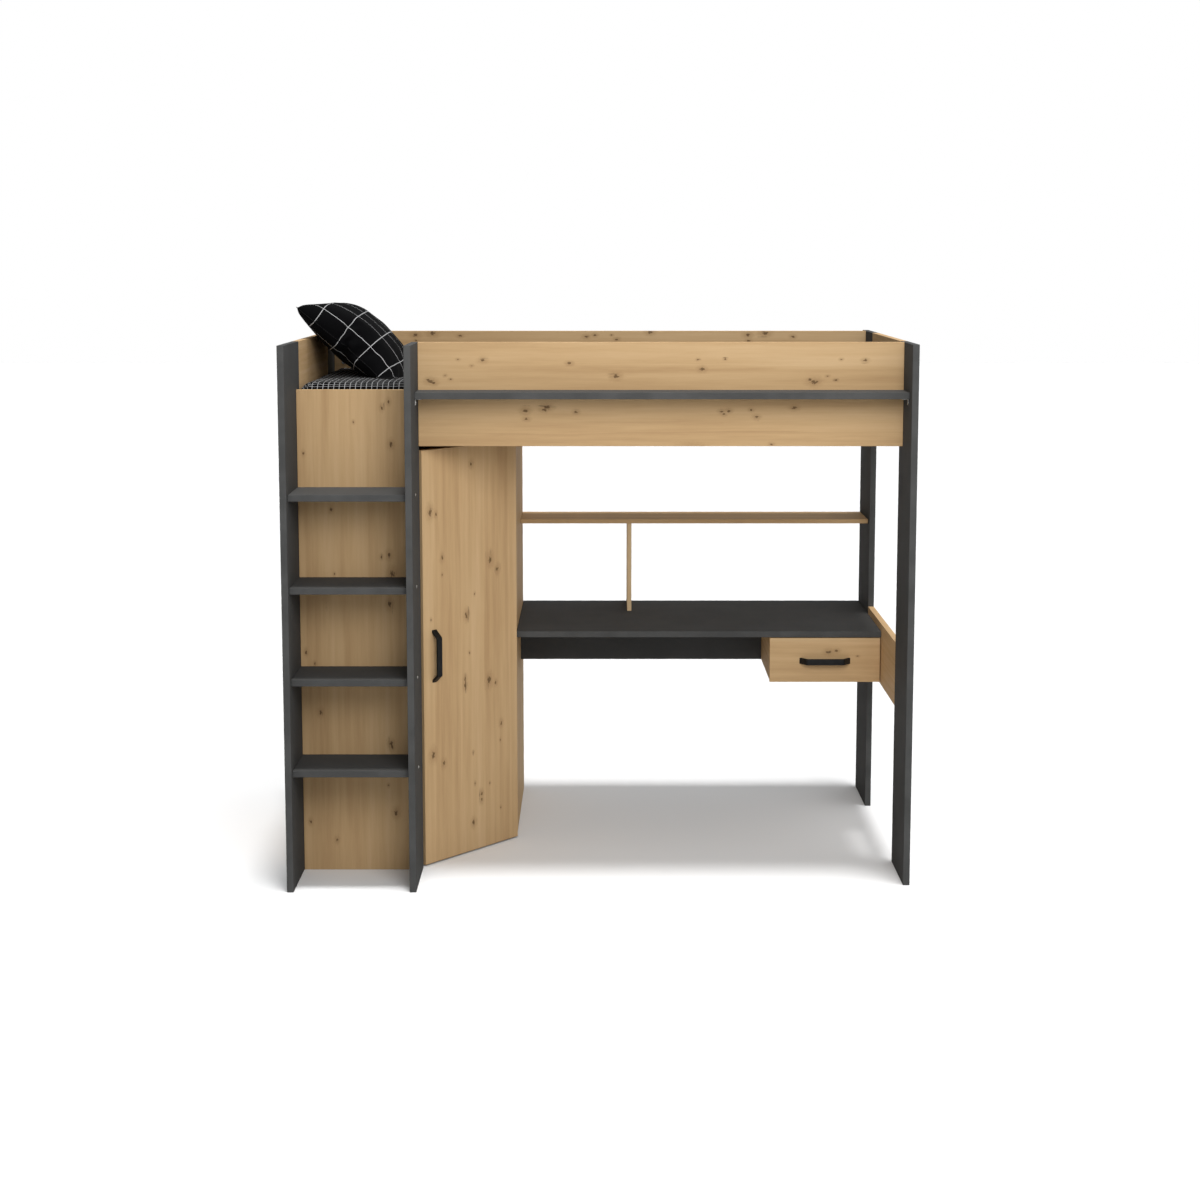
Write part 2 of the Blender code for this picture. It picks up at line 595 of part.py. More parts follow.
def hinge_arm(name, height):
    """A hinge's mounting plate on the wardrobe side, with the arm that reaches for the cup."""
    x = WARDROBE_SIDE_INNER - SEAM
    plate, arm = 0.0025, 0.0140
    shape = bmesh.new()
    outline = [(0.0, -0.024), (plate, -0.024), (plate, -0.008), (arm, -0.008)]
    outline += [(arm, 0.008), (plate, 0.008), (plate, 0.024), (0.0, 0.024)]
    points = [(x - out, depth(0.640), height + up) for out, up in outline]
    prism_into(shape, points, (0.0, 0.045, 0.0))
    item = place(name, mesh_from(name, shape), ZINC, 0.3, 1.0)
    shape = bmesh.new()
    low = (x - arm, depth(0.6155), height - 0.006)
    high = (x - 0.0040, depth(0.6450), height + 0.006)
    box_into(shape, low, high)
    reach = place(f"{name}_reach", mesh_from(f"{name}_reach", shape), ZINC, 0.3, 1.0)
    joined = item.modifiers.new("reach", "BOOLEAN")
    joined.operation = "UNION"
    joined.solver = "EXACT"
    joined.object = reach
    reach.hide_render = True
    reach.display_type = "WIRE"


clear_scene()
uprights()
steps()
bed_box()
bed_base()
mattress()
pillow()
desk()
drawer()
wardrobe()
wardrobe_door()
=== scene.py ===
"""Loft bed over a desk and a corner wardrobe: the finished look, built around the jointed frame."""

import json
import math

import bmesh
import bpy
import numpy as np
from mathutils import Matrix, Vector, noise


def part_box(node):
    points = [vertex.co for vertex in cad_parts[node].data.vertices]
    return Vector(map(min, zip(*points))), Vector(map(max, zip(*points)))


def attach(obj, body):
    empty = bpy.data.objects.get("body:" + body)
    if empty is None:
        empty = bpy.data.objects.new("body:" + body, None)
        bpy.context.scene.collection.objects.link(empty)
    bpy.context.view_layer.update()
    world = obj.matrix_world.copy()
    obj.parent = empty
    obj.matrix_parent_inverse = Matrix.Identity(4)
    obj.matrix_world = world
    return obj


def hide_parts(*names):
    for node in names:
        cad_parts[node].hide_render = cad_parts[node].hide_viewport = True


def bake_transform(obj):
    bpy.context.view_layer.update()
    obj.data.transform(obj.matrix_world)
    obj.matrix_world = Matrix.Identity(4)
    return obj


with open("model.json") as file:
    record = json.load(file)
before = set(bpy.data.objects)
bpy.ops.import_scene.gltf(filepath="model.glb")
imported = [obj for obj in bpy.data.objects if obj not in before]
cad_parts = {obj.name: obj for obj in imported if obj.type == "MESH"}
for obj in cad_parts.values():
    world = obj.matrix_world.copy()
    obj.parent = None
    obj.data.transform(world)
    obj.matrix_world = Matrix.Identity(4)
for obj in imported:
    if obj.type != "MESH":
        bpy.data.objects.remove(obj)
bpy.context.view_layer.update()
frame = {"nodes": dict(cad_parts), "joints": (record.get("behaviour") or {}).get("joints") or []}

# ---------------------------------------------------------------- Camera
# A long lens about six metres in front of the bed, a little above its top and on its centre line.
# It tips down slightly, so that the uprights stay almost parallel.
camera_data = bpy.data.cameras.new("camera")
camera_data.lens = 57.84
camera_data.sensor_width = 36.0
camera_data.shift_y = -0.10
camera = bpy.data.objects.new("camera", camera_data)
camera.location = (0.0, -6.733, 2.074)
camera.rotation_euler = (math.radians(90.0 - 6.7), 0.0, 0.0)
bpy.context.scene.collection.objects.link(camera)
bpy.context.scene.camera = camera

# ---------------------------------------------------------------- Studio
# A white floor in an open white room. A broad lamp straight above gives the pale shadow under the
# bed, and a round softbox in front, high up, lights the faces and weakens towards the back.
bpy.context.scene.view_settings.view_transform = "Standard"
bpy.context.scene.view_settings.look = "None"


def sun(name, strength, spread, from_point):
    """A lamp far away in the direction of a point, as seen from the bed."""
    data = bpy.data.lights.new(name, "SUN")
    data.energy = strength
    data.angle = math.radians(spread)
    lamp = bpy.data.objects.new(name, data)
    lamp.rotation_euler = Vector(from_point).to_track_quat("Z", "Y").to_euler()
    bpy.context.scene.collection.objects.link(lamp)


sun("overhead", 2.30, 9, (0.04, -0.06, 1.0))

softbox_data = bpy.data.lights.new("front_softbox", "AREA")
softbox_data.shape = "DISK"
softbox_data.size = 2.2
softbox_data.energy = 68.0
softbox = bpy.data.objects.new("front_softbox", softbox_data)
softbox.location = (0.45, -3.4, 2.9)
softbox.rotation_euler = Vector((0.45, -3.4, 1.6)).to_track_quat("Z", "Y").to_euler()
softbox.visible_camera = False
bpy.context.scene.collection.objects.link(softbox)

room = bpy.data.worlds.new("white_room")
room.use_nodes = True
bpy.context.scene.world = room
room_nodes = room.node_tree.nodes
room_links = room.node_tree.links
seen = room_nodes["Background"]
seen.inputs["Color"].default_value = (1.0, 1.0, 1.0, 1.0)
seen.inputs["Strength"].default_value = 1.0
lighting = room_nodes.new("ShaderNodeBackground")
lighting.inputs["Color"].default_value = (0.97, 0.985, 1.0, 1.0)
towards = room_nodes.new("ShaderNodeTexCoord")
sideways = room_nodes.new("ShaderNodeSeparateXYZ")
brighter_right = room_nodes.new("ShaderNodeMapRange")
brighter_right.inputs["From Min"].default_value = -1.0
brighter_right.inputs["To Min"].default_value = 0.15
brighter_right.inputs["To Max"].default_value = 0.80
room_links.new(towards.outputs["Generated"], sideways.inputs[0])
room_links.new(sideways.outputs[0], brighter_right.inputs[0])
room_links.new(brighter_right.outputs[0], lighting.inputs["Strength"])
direct = room_nodes.new("ShaderNodeLightPath")
either = room_nodes.new("ShaderNodeMixShader")
room_links.new(direct.outputs["Is Camera Ray"], either.inputs[0])
room_links.new(lighting.outputs[0], either.inputs[1])
room_links.new(seen.outputs[0], either.inputs[2])
room_links.new(either.outputs[0], room_nodes["World Output"].inputs[0])

FLOOR_REACH = 30.0
floor_mesh = bpy.data.meshes.new("floor")
corners = [(x * FLOOR_REACH, y * FLOOR_REACH, 0.0) for x, y in ((-1, -1), (1, -1), (1, 1), (-1, 1))]
floor_mesh.from_pydata(corners, [], [(0, 1, 2, 3)])
floor = bpy.data.objects.new("floor", floor_mesh)
bpy.context.scene.collection.objects.link(floor)
floor_paint = bpy.data.materials.new("white_floor")
floor_paint.use_nodes = True
floor_shader = floor_paint.node_tree.nodes["Principled BSDF"]
floor_light = floor_paint.node_tree.nodes.new("ShaderNodeLightPath")
floor_tone = floor_paint.node_tree.nodes.new("ShaderNodeMapRange")
floor_tone.inputs["To Min"].default_value = 0.50
floor_tone.inputs["To Max"].default_value = 0.91
floor_paint.node_tree.links.new(floor_light.outputs["Is Camera Ray"], floor_tone.inputs[0])
floor_paint.node_tree.links.new(floor_tone.outputs[0], floor_shader.inputs["Base Color"])
floor_shader.inputs["Roughness"].default_value = 0.9
floor_shader.inputs["Specular IOR Level"].default_value = 0.05
floor_mesh.materials.append(floor_paint)

# ---------------------------------------------------------------- Uprights
# Five floor-to-top boards of 22 mm chipboard, faced on both sides with anthracite melamine paper
# and edged with 1 mm plastic band, glued on and scraped flush.
EDGE_BAND = 0.0010
ANTHRACITE = (0.076, 0.076, 0.0745)
X_AXIS, Y_AXIS, Z_AXIS = Vector((1, 0, 0)), Vector((0, 1, 0)), Vector((0, 0, 1))


def add(tree, kind, inputs=(), **settings):
    """A shader node. Each input is a value, or the output that feeds it."""
    made = tree.nodes.new("ShaderNode" + kind)
    for key, value in settings.items():
        setattr(made, key, value)
    for key, value in dict(inputs).items():
        if isinstance(value, bpy.types.NodeSocket):
            tree.links.new(value, made.inputs[key])
        else:
            made.inputs[key].default_value = value
    return made


def calc(tree, operation, *values):
    return add(tree, "Math", enumerate(values), operation=operation).outputs[0]


def vector_calc(tree, operation, *values, output="Vector"):
    return add(tree, "VectorMath", enumerate(values), operation=operation).outputs[output]


def fade(tree, value, low, high, start=0.0, end=1.0):
    """Runs smoothly from start at low to end at high."""
    inputs = {"Value": value, "From Min": low, "From Max": high, "To Min": start, "To Max": end}
    return add(tree, "MapRange", inputs, interpolation_type="SMOOTHSTEP").outputs[0]


def plus(tree, base, layer, share):
    """The base with a share of the layer added to it."""
    return calc(tree, "ADD", base, calc(tree, "MULTIPLY", layer, share))


def centred(tree, layer):
    """A layer of 0 to 1, as a swing about nothing."""
    return calc(tree, "SUBTRACT", layer, 0.5)


def cloudy(tree, place, scale, detail=3.0, roughness=0.5):
    inputs = {"Vector": place, "Scale": scale, "Detail": detail, "Roughness": roughness}
    return add(tree, "TexNoise", inputs).outputs["Fac"]


def tint(tree, share, under, over):
    """The colour under, changing to the colour over where share is 1."""
    inputs = {0: share, 6: under, 7: over}
    return add(tree, "Mix", inputs, data_type="RGBA").outputs[2]


def shaded(tree, colour, shade):
    """One colour, made lighter or darker by the shade."""
    return add(tree, "VectorMath", {0: colour, "Scale": shade}, operation="SCALE").outputs["Vector"]


def new_finish(name, roughness=0.5, metallic=0.0, specular=0.5):
    finish = bpy.data.materials.new(name)
    finish.use_nodes = True
    shader = finish.node_tree.nodes["Principled BSDF"]
    shader.inputs["Roughness"].default_value = roughness
    shader.inputs["Metallic"].default_value = metallic
    shader.inputs["Specular IOR Level"].default_value = specular
    return finish, finish.node_tree, shader


def relief(tree, shader, height, strength, distance):
    inputs = {"Height": height, "Strength": strength, "Distance": distance}
    tree.links.new(add(tree, "Bump", inputs).outputs[0], shader.inputs["Normal"])


def refinish(name, finish):
    """Gives a carried-over node this finish in place of its plain one."""
    frame["nodes"][name].data.materials.clear()
    frame["nodes"][name].data.materials.append(finish)


def board_axes(tree, name, along, across):
    """The place on a board along and across its grain, and how far in from its nearest edge."""
    mesh = frame["nodes"][name].data
    reach = [[vertex.co.dot(axis) for vertex in mesh.vertices] for axis in (along, across)]
    place = add(tree, "TexCoord").outputs["Object"]
    offsets, margins = [], []
    for axis, values in zip((along, across), reach):
        middle, half = (max(values) + min(values)) / 2, (max(values) - min(values)) / 2
        there = vector_calc(tree, "DOT_PRODUCT", place, axis, output="Value")
        there = calc(tree, "SUBTRACT", there, middle)
        offsets.append(there)
        margins.append(calc(tree, "SUBTRACT", half, calc(tree, "ABSOLUTE", there)))
    return place, offsets[0], offsets[1], calc(tree, "MINIMUM", *margins)


def band_joint(tree, margin):
    """The hairline where the edge band meets the face."""
    off = calc(tree, "ABSOLUTE", calc(tree, "SUBTRACT", margin, EDGE_BAND))
    return fade(tree, off, 0.0001, 0.0003, 1.0, 0.0)


def anthracite_board(name, along, across):
    """Fine-grained dark melamine with a paler, slightly rubbed edge band."""
    finish, tree, shader = new_finish(f"anthracite_{name}", specular=0.02)
    place, _, _, margin = board_axes(tree, name, along, across)
    mottle = cloudy(tree, place, 9.0, 4.0)
    pearl = cloudy(tree, place, 900.0, 2.0)
    specks = fade(tree, cloudy(tree, place, 420.0, 1.0), 0.66, 0.74)
    on_band = fade(tree, margin, EDGE_BAND * 0.4, EDGE_BAND * 1.1, 1.0, 0.0)
    rub = calc(tree, "MULTIPLY", on_band, fade(tree, mottle, 0.35, 0.65))
    shade = fade(tree, mottle, 0.3, 0.7, 0.96, 1.04)
    for layer, share in ((centred(tree, pearl), 0.22), (specks, 0.10), (rub, 0.16)):
        shade = plus(tree, shade, layer, share)
    glue_line = plus(tree, 1.0, band_joint(tree, margin), -0.45)
    shade = calc(tree, "MULTIPLY", shade, glue_line)
    tree.links.new(shaded(tree, ANTHRACITE, shade), shader.inputs["Base Color"])
    tree.links.new(fade(tree, pearl, 0.3, 0.7, 0.58, 0.72), shader.inputs["Roughness"])
    relief(tree, shader, pearl, 0.25, 0.0002)
    refinish(name, finish)


for name in ("step_side_outer", "step_side_inner", "post_front_right", "post_back_right", "post_back_left"):
    anthracite_board(name, Z_AXIS, Y_AXIS)

# ---------------------------------------------------------------- Steps
# Four anthracite treads dowelled between the two step sides, each also held from the wardrobe side
# by one bright screw. The board behind them is oak-print melamine, with its grain upright.
OAK_DARK = (0.400, 0.235, 0.110, 1.0)
OAK_MIDDLE = (0.590, 0.392, 0.203, 1.0)
OAK_PALE = (0.720, 0.515, 0.295, 1.0)
KNOT_HEART = (0.110, 0.062, 0.030, 1.0)
KNOT_HALO = (0.360, 0.215, 0.100, 1.0)
PLANK_WIDTH = 0.118
WILD_KNOT = 0.060


def nearest_knot(tree, spot, knots, wild, seed):
    """How far the nearest knot is, in knot radii: the ones given, and scattered small ones."""
    stretched = vector_calc(tree, "MULTIPLY", spot, (3.0, 8.5, 0.0))
    moved = vector_calc(tree, "ADD", stretched, (seed * 3.7, seed * 1.3, seed * 0.9))
    cells = add(tree, "TexVoronoi", {"Vector": moved, "Scale": 1.0}, feature="F1")
    chance = add(tree, "SeparateColor", {"Color": cells.outputs["Color"]}).outputs[0]
    absent = calc(tree, "GREATER_THAN", chance, wild)
    nearest = calc(tree, "DIVIDE", cells.outputs["Distance"], WILD_KNOT)
    nearest = plus(tree, nearest, absent, 50.0)
    for u, v, size in knots:
        off = vector_calc(tree, "SUBTRACT", spot, (u, v, 0.0))
        scaled = vector_calc(tree, "MULTIPLY", off, (0.85 / size, 1.35 / size, 0.0))
        nearest = calc(tree, "MINIMUM", nearest, vector_calc(tree, "LENGTH", scaled, output="Value"))
    return nearest


def oak_board(name, along, across, knots=(), wild=0.30, colours=(OAK_DARK, OAK_MIDDLE, OAK_PALE)):
    """Oak-print melamine: soft plank bands, fine fibres, rings that part round dark knots, and cracks."""
    finish, tree, shader = new_finish(f"oak_{name}", specular=0.06)
    seed = sorted(frame["nodes"]).index(name)
    place, u, v, margin = board_axes(tree, name, along, across)
    thick = vector_calc(tree, "DOT_PRODUCT", place, along.cross(across), output="Value")
    flat = add(tree, "CombineXYZ", {0: u, 1: v, 2: 0.0}).outputs[0]
    spot = add(tree, "CombineXYZ", {0: u, 1: v, 2: calc(tree, "ADD", thick, seed * 7.31)}).outputs[0]
    drift = cloudy(tree, vector_calc(tree, "MULTIPLY", spot, (1.6, 6.0, 3.0)), 1.0, 3.0)
    jagged = cloudy(tree, vector_calc(tree, "MULTIPLY", spot, (110.0, 230.0, 60.0)), 1.0, 3.0)

    low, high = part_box(name)
    middle = (low + high) / 2
    relative = [((p - middle).dot(along), (p - middle).dot(across), size) for p, size in knots]
    knot = nearest_knot(tree, flat, relative, wild, seed)
    knot = plus(tree, knot, centred(tree, jagged), 2.8)
    swirl = calc(tree, "DIVIDE", 1.6, calc(tree, "ADD", 0.6, calc(tree, "MAXIMUM", knot, 0.0)))

    v_wandered = plus(tree, v, centred(tree, drift), 0.030)
    plank = calc(tree, "DIVIDE", calc(tree, "ADD", v_wandered, seed * 0.041), PLANK_WIDTH)
    plank = calc(tree, "ADD", calc(tree, "FLOOR", plank), seed * 5.0)
    plank_tone = add(tree, "TexWhiteNoise", {"W": plank}, noise_dimensions="1D").outputs[0]
    rings = calc(tree, "SINE", plus(tree, calc(tree, "MULTIPLY", v_wandered, 210.0), swirl, 3.0))
    broad = cloudy(tree, vector_calc(tree, "MULTIPLY", spot, (1.1, 17.0, 4.0)), 1.0, 3.0)
    streak = cloudy(tree, vector_calc(tree, "MULTIPLY", spot, (4.0, 95.0, 40.0)), 1.0, 4.0, 0.65)
    fibre = cloudy(tree, vector_calc(tree, "MULTIPLY", spot, (22.0, 900.0, 300.0)), 1.0, 3.0, 0.7)

    tone = 0.52
    for layer, share in ((plank_tone, 0.20), (broad, 0.75), (streak, 0.42), (fibre, 0.20)):
        tone = plus(tree, tone, centred(tree, layer), share)
    ramp = add(tree, "ValToRGB", {"Fac": plus(tree, tone, rings, 0.030)})
    ramp.color_ramp.elements[0].color = colours[0]
    ramp.color_ramp.elements[1].color = colours[2]
    ramp.color_ramp.elements.new(0.5).color = colours[1]

    halo = fade(tree, knot, 0.8, 4.0, 0.42, 0.0)
    cracks = calc(tree, "MULTIPLY", fade(tree, knot, 1.6, 4.2, 1.0, 0.0), fade(tree, streak, 0.60, 0.68))
    heart = fade(tree, knot, 0.55, 1.15, 1.0, 0.0)
    paint = tint(tree, halo, ramp.outputs[0], KNOT_HALO)
    paint = tint(tree, calc(tree, "MULTIPLY", cracks, 0.75), paint, KNOT_HEART)
    paint = tint(tree, calc(tree, "MULTIPLY", heart, 0.80), paint, KNOT_HEART)
    paint = tint(tree, calc(tree, "MULTIPLY", band_joint(tree, margin), 0.5), paint, KNOT_HALO)
    tree.links.new(paint, shader.inputs["Base Color"])
    tree.links.new(fade(tree, streak, 0.3, 0.7, 0.62, 0.50), shader.inputs["Roughness"])
    pores = plus(tree, fibre, calc(tree, "ADD", heart, cracks), -0.8)
    relief(tree, shader, pores, 0.22, 0.0003)
    refinish(name, finish)


def spots(*rows):
    """Knots on a board that faces the front: X, height and radius."""
    return [(Vector((x, 0.0, z)), size) for x, z, size in rows]


for i in range(4):
    anthracite_board(f"step_{i + 1}", X_AXIS, Y_AXIS)
oak_board(
    "step_back_panel", Z_AXIS, X_AXIS,
    spots(
        (-0.697, 1.589, 0.005), (-0.720, 1.570, 0.005), (-0.691, 1.447, 0.007), (-0.980, 1.418, 0.004),
        (-0.814, 1.522, 0.003), (-0.892, 1.231, 0.005), (-0.727, 1.072, 0.004), (-0.701, 1.077, 0.007),
        (-0.692, 1.014, 0.010), (-0.884, 1.014, 0.003), (-0.701, 0.913, 0.008), (-0.983, 0.749, 0.005),
        (-0.955, 0.710, 0.004), (-0.937, 0.544, 0.006), (-0.702, 0.436, 0.007), (-0.700, 0.427, 0.006),
        (-0.713, 0.293, 0.003), (-0.689, 0.197, 0.008), (-0.978, 0.167, 0.005), (-0.889, 0.103, 0.005),
    ),
    wild=0.05,
)


def piece(name, shape, finish, body, sharp=35):
    """A finished piece from a bmesh in its place: its own object, riding on a body if one is given."""
    bmesh.ops.recalc_face_normals(shape, faces=shape.faces)
    mesh = bpy.data.meshes.new(name)
    shape.to_mesh(mesh)
    shape.free()
    mesh.materials.append(finish)
    mesh.shade_smooth()
    mesh.set_sharp_from_angle(angle=math.radians(sharp))
    made = bpy.data.objects.new(name, mesh)
    bpy.context.scene.collection.objects.link(made)
    if body:
        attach(made, body)
    return made


def metal(name, colour, roughness, grains=350.0):
    """Plated or bare metal: faint crystals, fine scratches and uneven gloss."""
    finish, tree, shader = new_finish(name, roughness, 1.0)
    place = add(tree, "TexCoord").outputs["Object"]
    crystals = add(tree, "TexVoronoi", {"Vector": place, "Scale": grains}).outputs["Color"]
    crystal = add(tree, "SeparateColor", {0: crystals}).outputs[0]
    cloud = cloudy(tree, place, 60.0, 4.0)
    scratch = cloudy(tree, vector_calc(tree, "MULTIPLY", place, (300.0, 300.0, 4000.0)), 1.0, 2.0)
    dull = fade(tree, cloud, 0.3, 0.7, -0.10, 0.06)
    shade = calc(tree, "ADD", fade(tree, crystal, 0.0, 1.0, 0.90, 1.05), dull)
    tree.links.new(shaded(tree, colour, shade), shader.inputs["Base Color"])
    rough = fade(tree, cloud, 0.3, 0.7, roughness - 0.08, roughness + 0.12)
    tree.links.new(rough, shader.inputs["Roughness"])
    relief(tree, shader, scratch, 0.12, 0.0001)
    return finish


zinc = metal("zinc_plate", (0.60, 0.60, 0.58), 0.33)


def screw_into(shape, middle, out, radius=0.0035, rise=0.0014):
    """A screw head on a face that looks along out: a low dome with a cross recess, closed behind."""
    arm, slot = 0.55 * radius, 0.16 * radius
    tip = math.degrees(math.atan2(slot, arm))
    quarter = (0, tip, (tip + 45) / 2, 45, (135 - tip) / 2, 90 - tip)
    turns = [math.radians(start + angle) for start in (0, 90, 180, 270) for angle in quarter]
    place = Matrix.Translation(Vector(middle)) @ Vector(out).to_track_quat("Z", "Y").to_matrix().to_4x4()

    def recess(turn):
        over, up = max(abs(math.cos(turn)), 1e-6), max(abs(math.sin(turn)), 1e-6)
        return max(min(arm / over, slot / up), min(arm / up, slot / over))

    def ring(reach, height):
        points = [Vector((reach(t) * math.cos(t), reach(t) * math.sin(t), height)) for t in turns]
        return [shape.verts.new(place @ point) for point in points]

    rings = [
        ring(lambda t: 0.80 * recess(t), 0.30 * rise),
        ring(recess, 0.95 * rise),
        ring(lambda t: 0.62 * radius, 0.92 * rise),
        ring(lambda t: 0.86 * radius, 0.68 * rise),
        ring(lambda t: 0.97 * radius, 0.30 * rise),
        ring(lambda t: radius, 0.0),
    ]
    for inner, outer in zip(rings, rings[1:]):
        for i in range(len(turns)):
            shape.faces.new((inner[i - 1], inner[i], outer[i], outer[i - 1]))
    for row, height in ((rings[0], 0.30 * rise), (rings[-1], 0.0)):
        hub = shape.verts.new(place @ Vector((0.0, 0.0, height)))
        for i in range(len(turns)):
            shape.faces.new((row[i - 1], row[i], hub))


STEP_SCREW = 0.0050
STEP_SCREW_RISE = 0.0017
for i in range(4):
    low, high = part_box(f"step_screw_{i + 1}")
    head = bmesh.new()
    screw_into(head, (low.x, (low.y + high.y) / 2, (low.z + high.z) / 2), X_AXIS, STEP_SCREW, STEP_SCREW_RISE)
    made = piece(f"step_screw_head_{i + 1}", head, zinc, "frame")
    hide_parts(f"step_screw_{i + 1}")

# ---------------------------------------------------------------- Bed box
# The side rails are two oak-print boards one above the other, between the uprights, and the ends
# are single boards. An anthracite shelf runs along the front rail on a small zinc angle at each end.
oak_board("bed_rail_back", X_AXIS, Z_AXIS, wild=0.22)
oak_board(
    "guard_rail_back", X_AXIS, Z_AXIS,
    spots(
        (-0.695, 1.769, 0.008), (-0.693, 1.748, 0.005), (-0.630, 1.776, 0.009), (-0.527, 1.766, 0.005),
        (-0.051, 1.763, 0.006), (-0.020, 1.769, 0.005), (0.044, 1.769, 0.003), (0.063, 1.753, 0.005),
        (0.188, 1.780, 0.007), (0.556, 1.769, 0.007), (0.559, 1.748, 0.005), (0.622, 1.776, 0.009),
        (0.726, 1.763, 0.005), (-0.330, 1.640, 0.007), (0.340, 1.655, 0.008),
    ),
    wild=0.04,
)
oak_board(
    "guard_rail_front", X_AXIS, Z_AXIS,
    spots(
        (-0.566, 1.661, 0.005), (-0.557, 1.656, 0.008), (-0.549, 1.650, 0.006), (-0.510, 1.675, 0.003),
        (-0.492, 1.663, 0.003), (-0.467, 1.728, 0.003), (-0.386, 1.726, 0.006), (-0.423, 1.707, 0.003),
        (-0.101, 1.715, 0.005), (0.052, 1.673, 0.008), (0.322, 1.728, 0.003), (0.336, 1.696, 0.006),
        (0.412, 1.729, 0.003), (0.693, 1.661, 0.005), (0.704, 1.654, 0.009), (0.714, 1.656, 0.004),
        (0.749, 1.673, 0.003), (0.777, 1.660, 0.003), (0.794, 1.728, 0.003), (0.873, 1.725, 0.005),
    ),
    wild=0.04,
)
oak_board(
    "bed_rail_front", X_AXIS, Z_AXIS,
    spots(
        (-0.246, 1.558, 0.007), (-0.243, 1.531, 0.005), (-0.184, 1.562, 0.006), (-0.176, 1.570, 0.008),
        (-0.079, 1.554, 0.005), (0.402, 1.556, 0.005), (0.410, 1.548, 0.004), (0.425, 1.558, 0.005),
        (0.499, 1.561, 0.004), (0.517, 1.538, 0.005), (0.641, 1.569, 0.006), (0.567, 1.447, 0.004),
    ),
    wild=0.04,
)
for name in ("end_panel_left", "end_panel_right"):
    oak_board(name, Y_AXIS, Z_AXIS, wild=0.25)
anthracite_board("front_shelf", X_AXIS, Y_AXIS)

ANGLE_SHEET = 0.002
ANGLE_SCREW = 0.012
angle_screws = bmesh.new()
for name, inward in (("shelf_bracket_left", 1), ("shelf_bracket_right", -1)):
    refinish(name, zinc)
    low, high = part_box(name)
    wall = low.x if inward > 0 else high.x
    y = (low.y + high.y) / 2
    screw_into(angle_screws, (wall + inward * ANGLE_SHEET, y, high.z - ANGLE_SCREW), X_AXIS * inward)
    screw_into(angle_screws, (wall + inward * ANGLE_SCREW, y, high.z - ANGLE_SHEET), -Z_AXIS)
piece("shelf_bracket_screws", angle_screws, zinc, "frame")

# ---------------------------------------------------------------- Bed base
# Two pine bearers screwed along the rails carry a roll of fourteen pine slats. The slats are stapled
# to two woven tapes underneath, which hold them at their pitch.
PINE_DARK = (0.480, 0.300, 0.140, 1.0)
PINE_MIDDLE = (0.640, 0.455, 0.255, 1.0)
PINE_PALE = (0.760, 0.600, 0.390, 1.0)
TAPE_WHITE = (0.560, 0.540, 0.490, 1.0)
TAPE_GREY = (0.360, 0.340, 0.300, 1.0)
TAPE_RIBS = 2600.0
TAPE_PLACES = (-0.173, 0.337)
SLAT_COUNT = 14
SLAT_WIDE = 0.070
STAPLE_HALF = 0.006
STAPLE_WIRE = 0.0010
STAPLE_FROM_MIDDLE = 0.009
BEARER_SCREWS = 7
BEARER_END = 0.060
BEARER_SCREW = 0.0038
PINE = (PINE_DARK, PINE_MIDDLE, PINE_PALE)
for name in ("slat_bearer_front", "slat_bearer_back"):
    oak_board(name, X_AXIS, Z_AXIS, wild=0.5, colours=PINE)
oak_board("slat_roll", Y_AXIS, X_AXIS, wild=0.6, colours=PINE)

slats_low, slats_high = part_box("slat_roll")
tape_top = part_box("slat_bearer_front")[1].z
wood = frame["nodes"]["slat_roll"].data.materials[0]
wood_tree = wood.node_tree
wood_shader = wood_tree.nodes["Principled BSDF"]
height = add(wood_tree, "SeparateXYZ", {0: add(wood_tree, "TexCoord").outputs["Object"]})
below = calc(wood_tree, "LESS_THAN", height.outputs[2], tape_top)
ribs = calc(wood_tree, "SINE", calc(wood_tree, "MULTIPLY", height.outputs[0], TAPE_RIBS))
tape_colour = tint(wood_tree, fade(wood_tree, ribs, -1.0, 1.0, 0.0, 0.5), TAPE_WHITE, TAPE_GREY)
wood_colour = wood_shader.inputs["Base Color"].links[0].from_socket
wood_tree.links.new(tint(wood_tree, below, wood_colour, tape_colour), wood_shader.inputs["Base Color"])


def box_into(shape, low, high):
    """A plain block between two corners."""
    size = Vector(high) - Vector(low)
    middle = (Vector(high) + Vector(low)) / 2
    cube = bmesh.ops.create_cube(shape, size=1.0)
    spread = Matrix.Translation(middle) @ Matrix.Diagonal((*size, 1.0))
    bmesh.ops.transform(shape, matrix=spread, verts=cube["verts"])


staples = bmesh.new()
pitch = (slats_high.x - slats_low.x - SLAT_WIDE) / (SLAT_COUNT - 1)
for i in range(SLAT_COUNT):
    x = slats_low.x + SLAT_WIDE / 2 + i * pitch
    for tape_y in TAPE_PLACES:
        for y in (tape_y - STAPLE_FROM_MIDDLE, tape_y + STAPLE_FROM_MIDDLE):
            box_into(
                staples,
                (x - STAPLE_HALF, y - STAPLE_WIRE / 2, slats_low.z - 0.6 * STAPLE_WIRE),
                (x + STAPLE_HALF, y + STAPLE_WIRE / 2, slats_low.z + 0.3 * STAPLE_WIRE),
            )
piece("tape_staples", staples, zinc, "frame")

bearer_screws = bmesh.new()
for name, side in (("slat_bearer_front", 1), ("slat_bearer_back", -1)):
    low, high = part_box(name)
    face = high.y if side > 0 else low.y
    for x in np.linspace(low.x + BEARER_END, high.x - BEARER_END, BEARER_SCREWS):
        screw_into(bearer_screws, (x, face, (low.z + high.z) / 2), Y_AXIS * side, BEARER_SCREW)
piece("bearer_screws", bearer_screws, zinc, "frame")

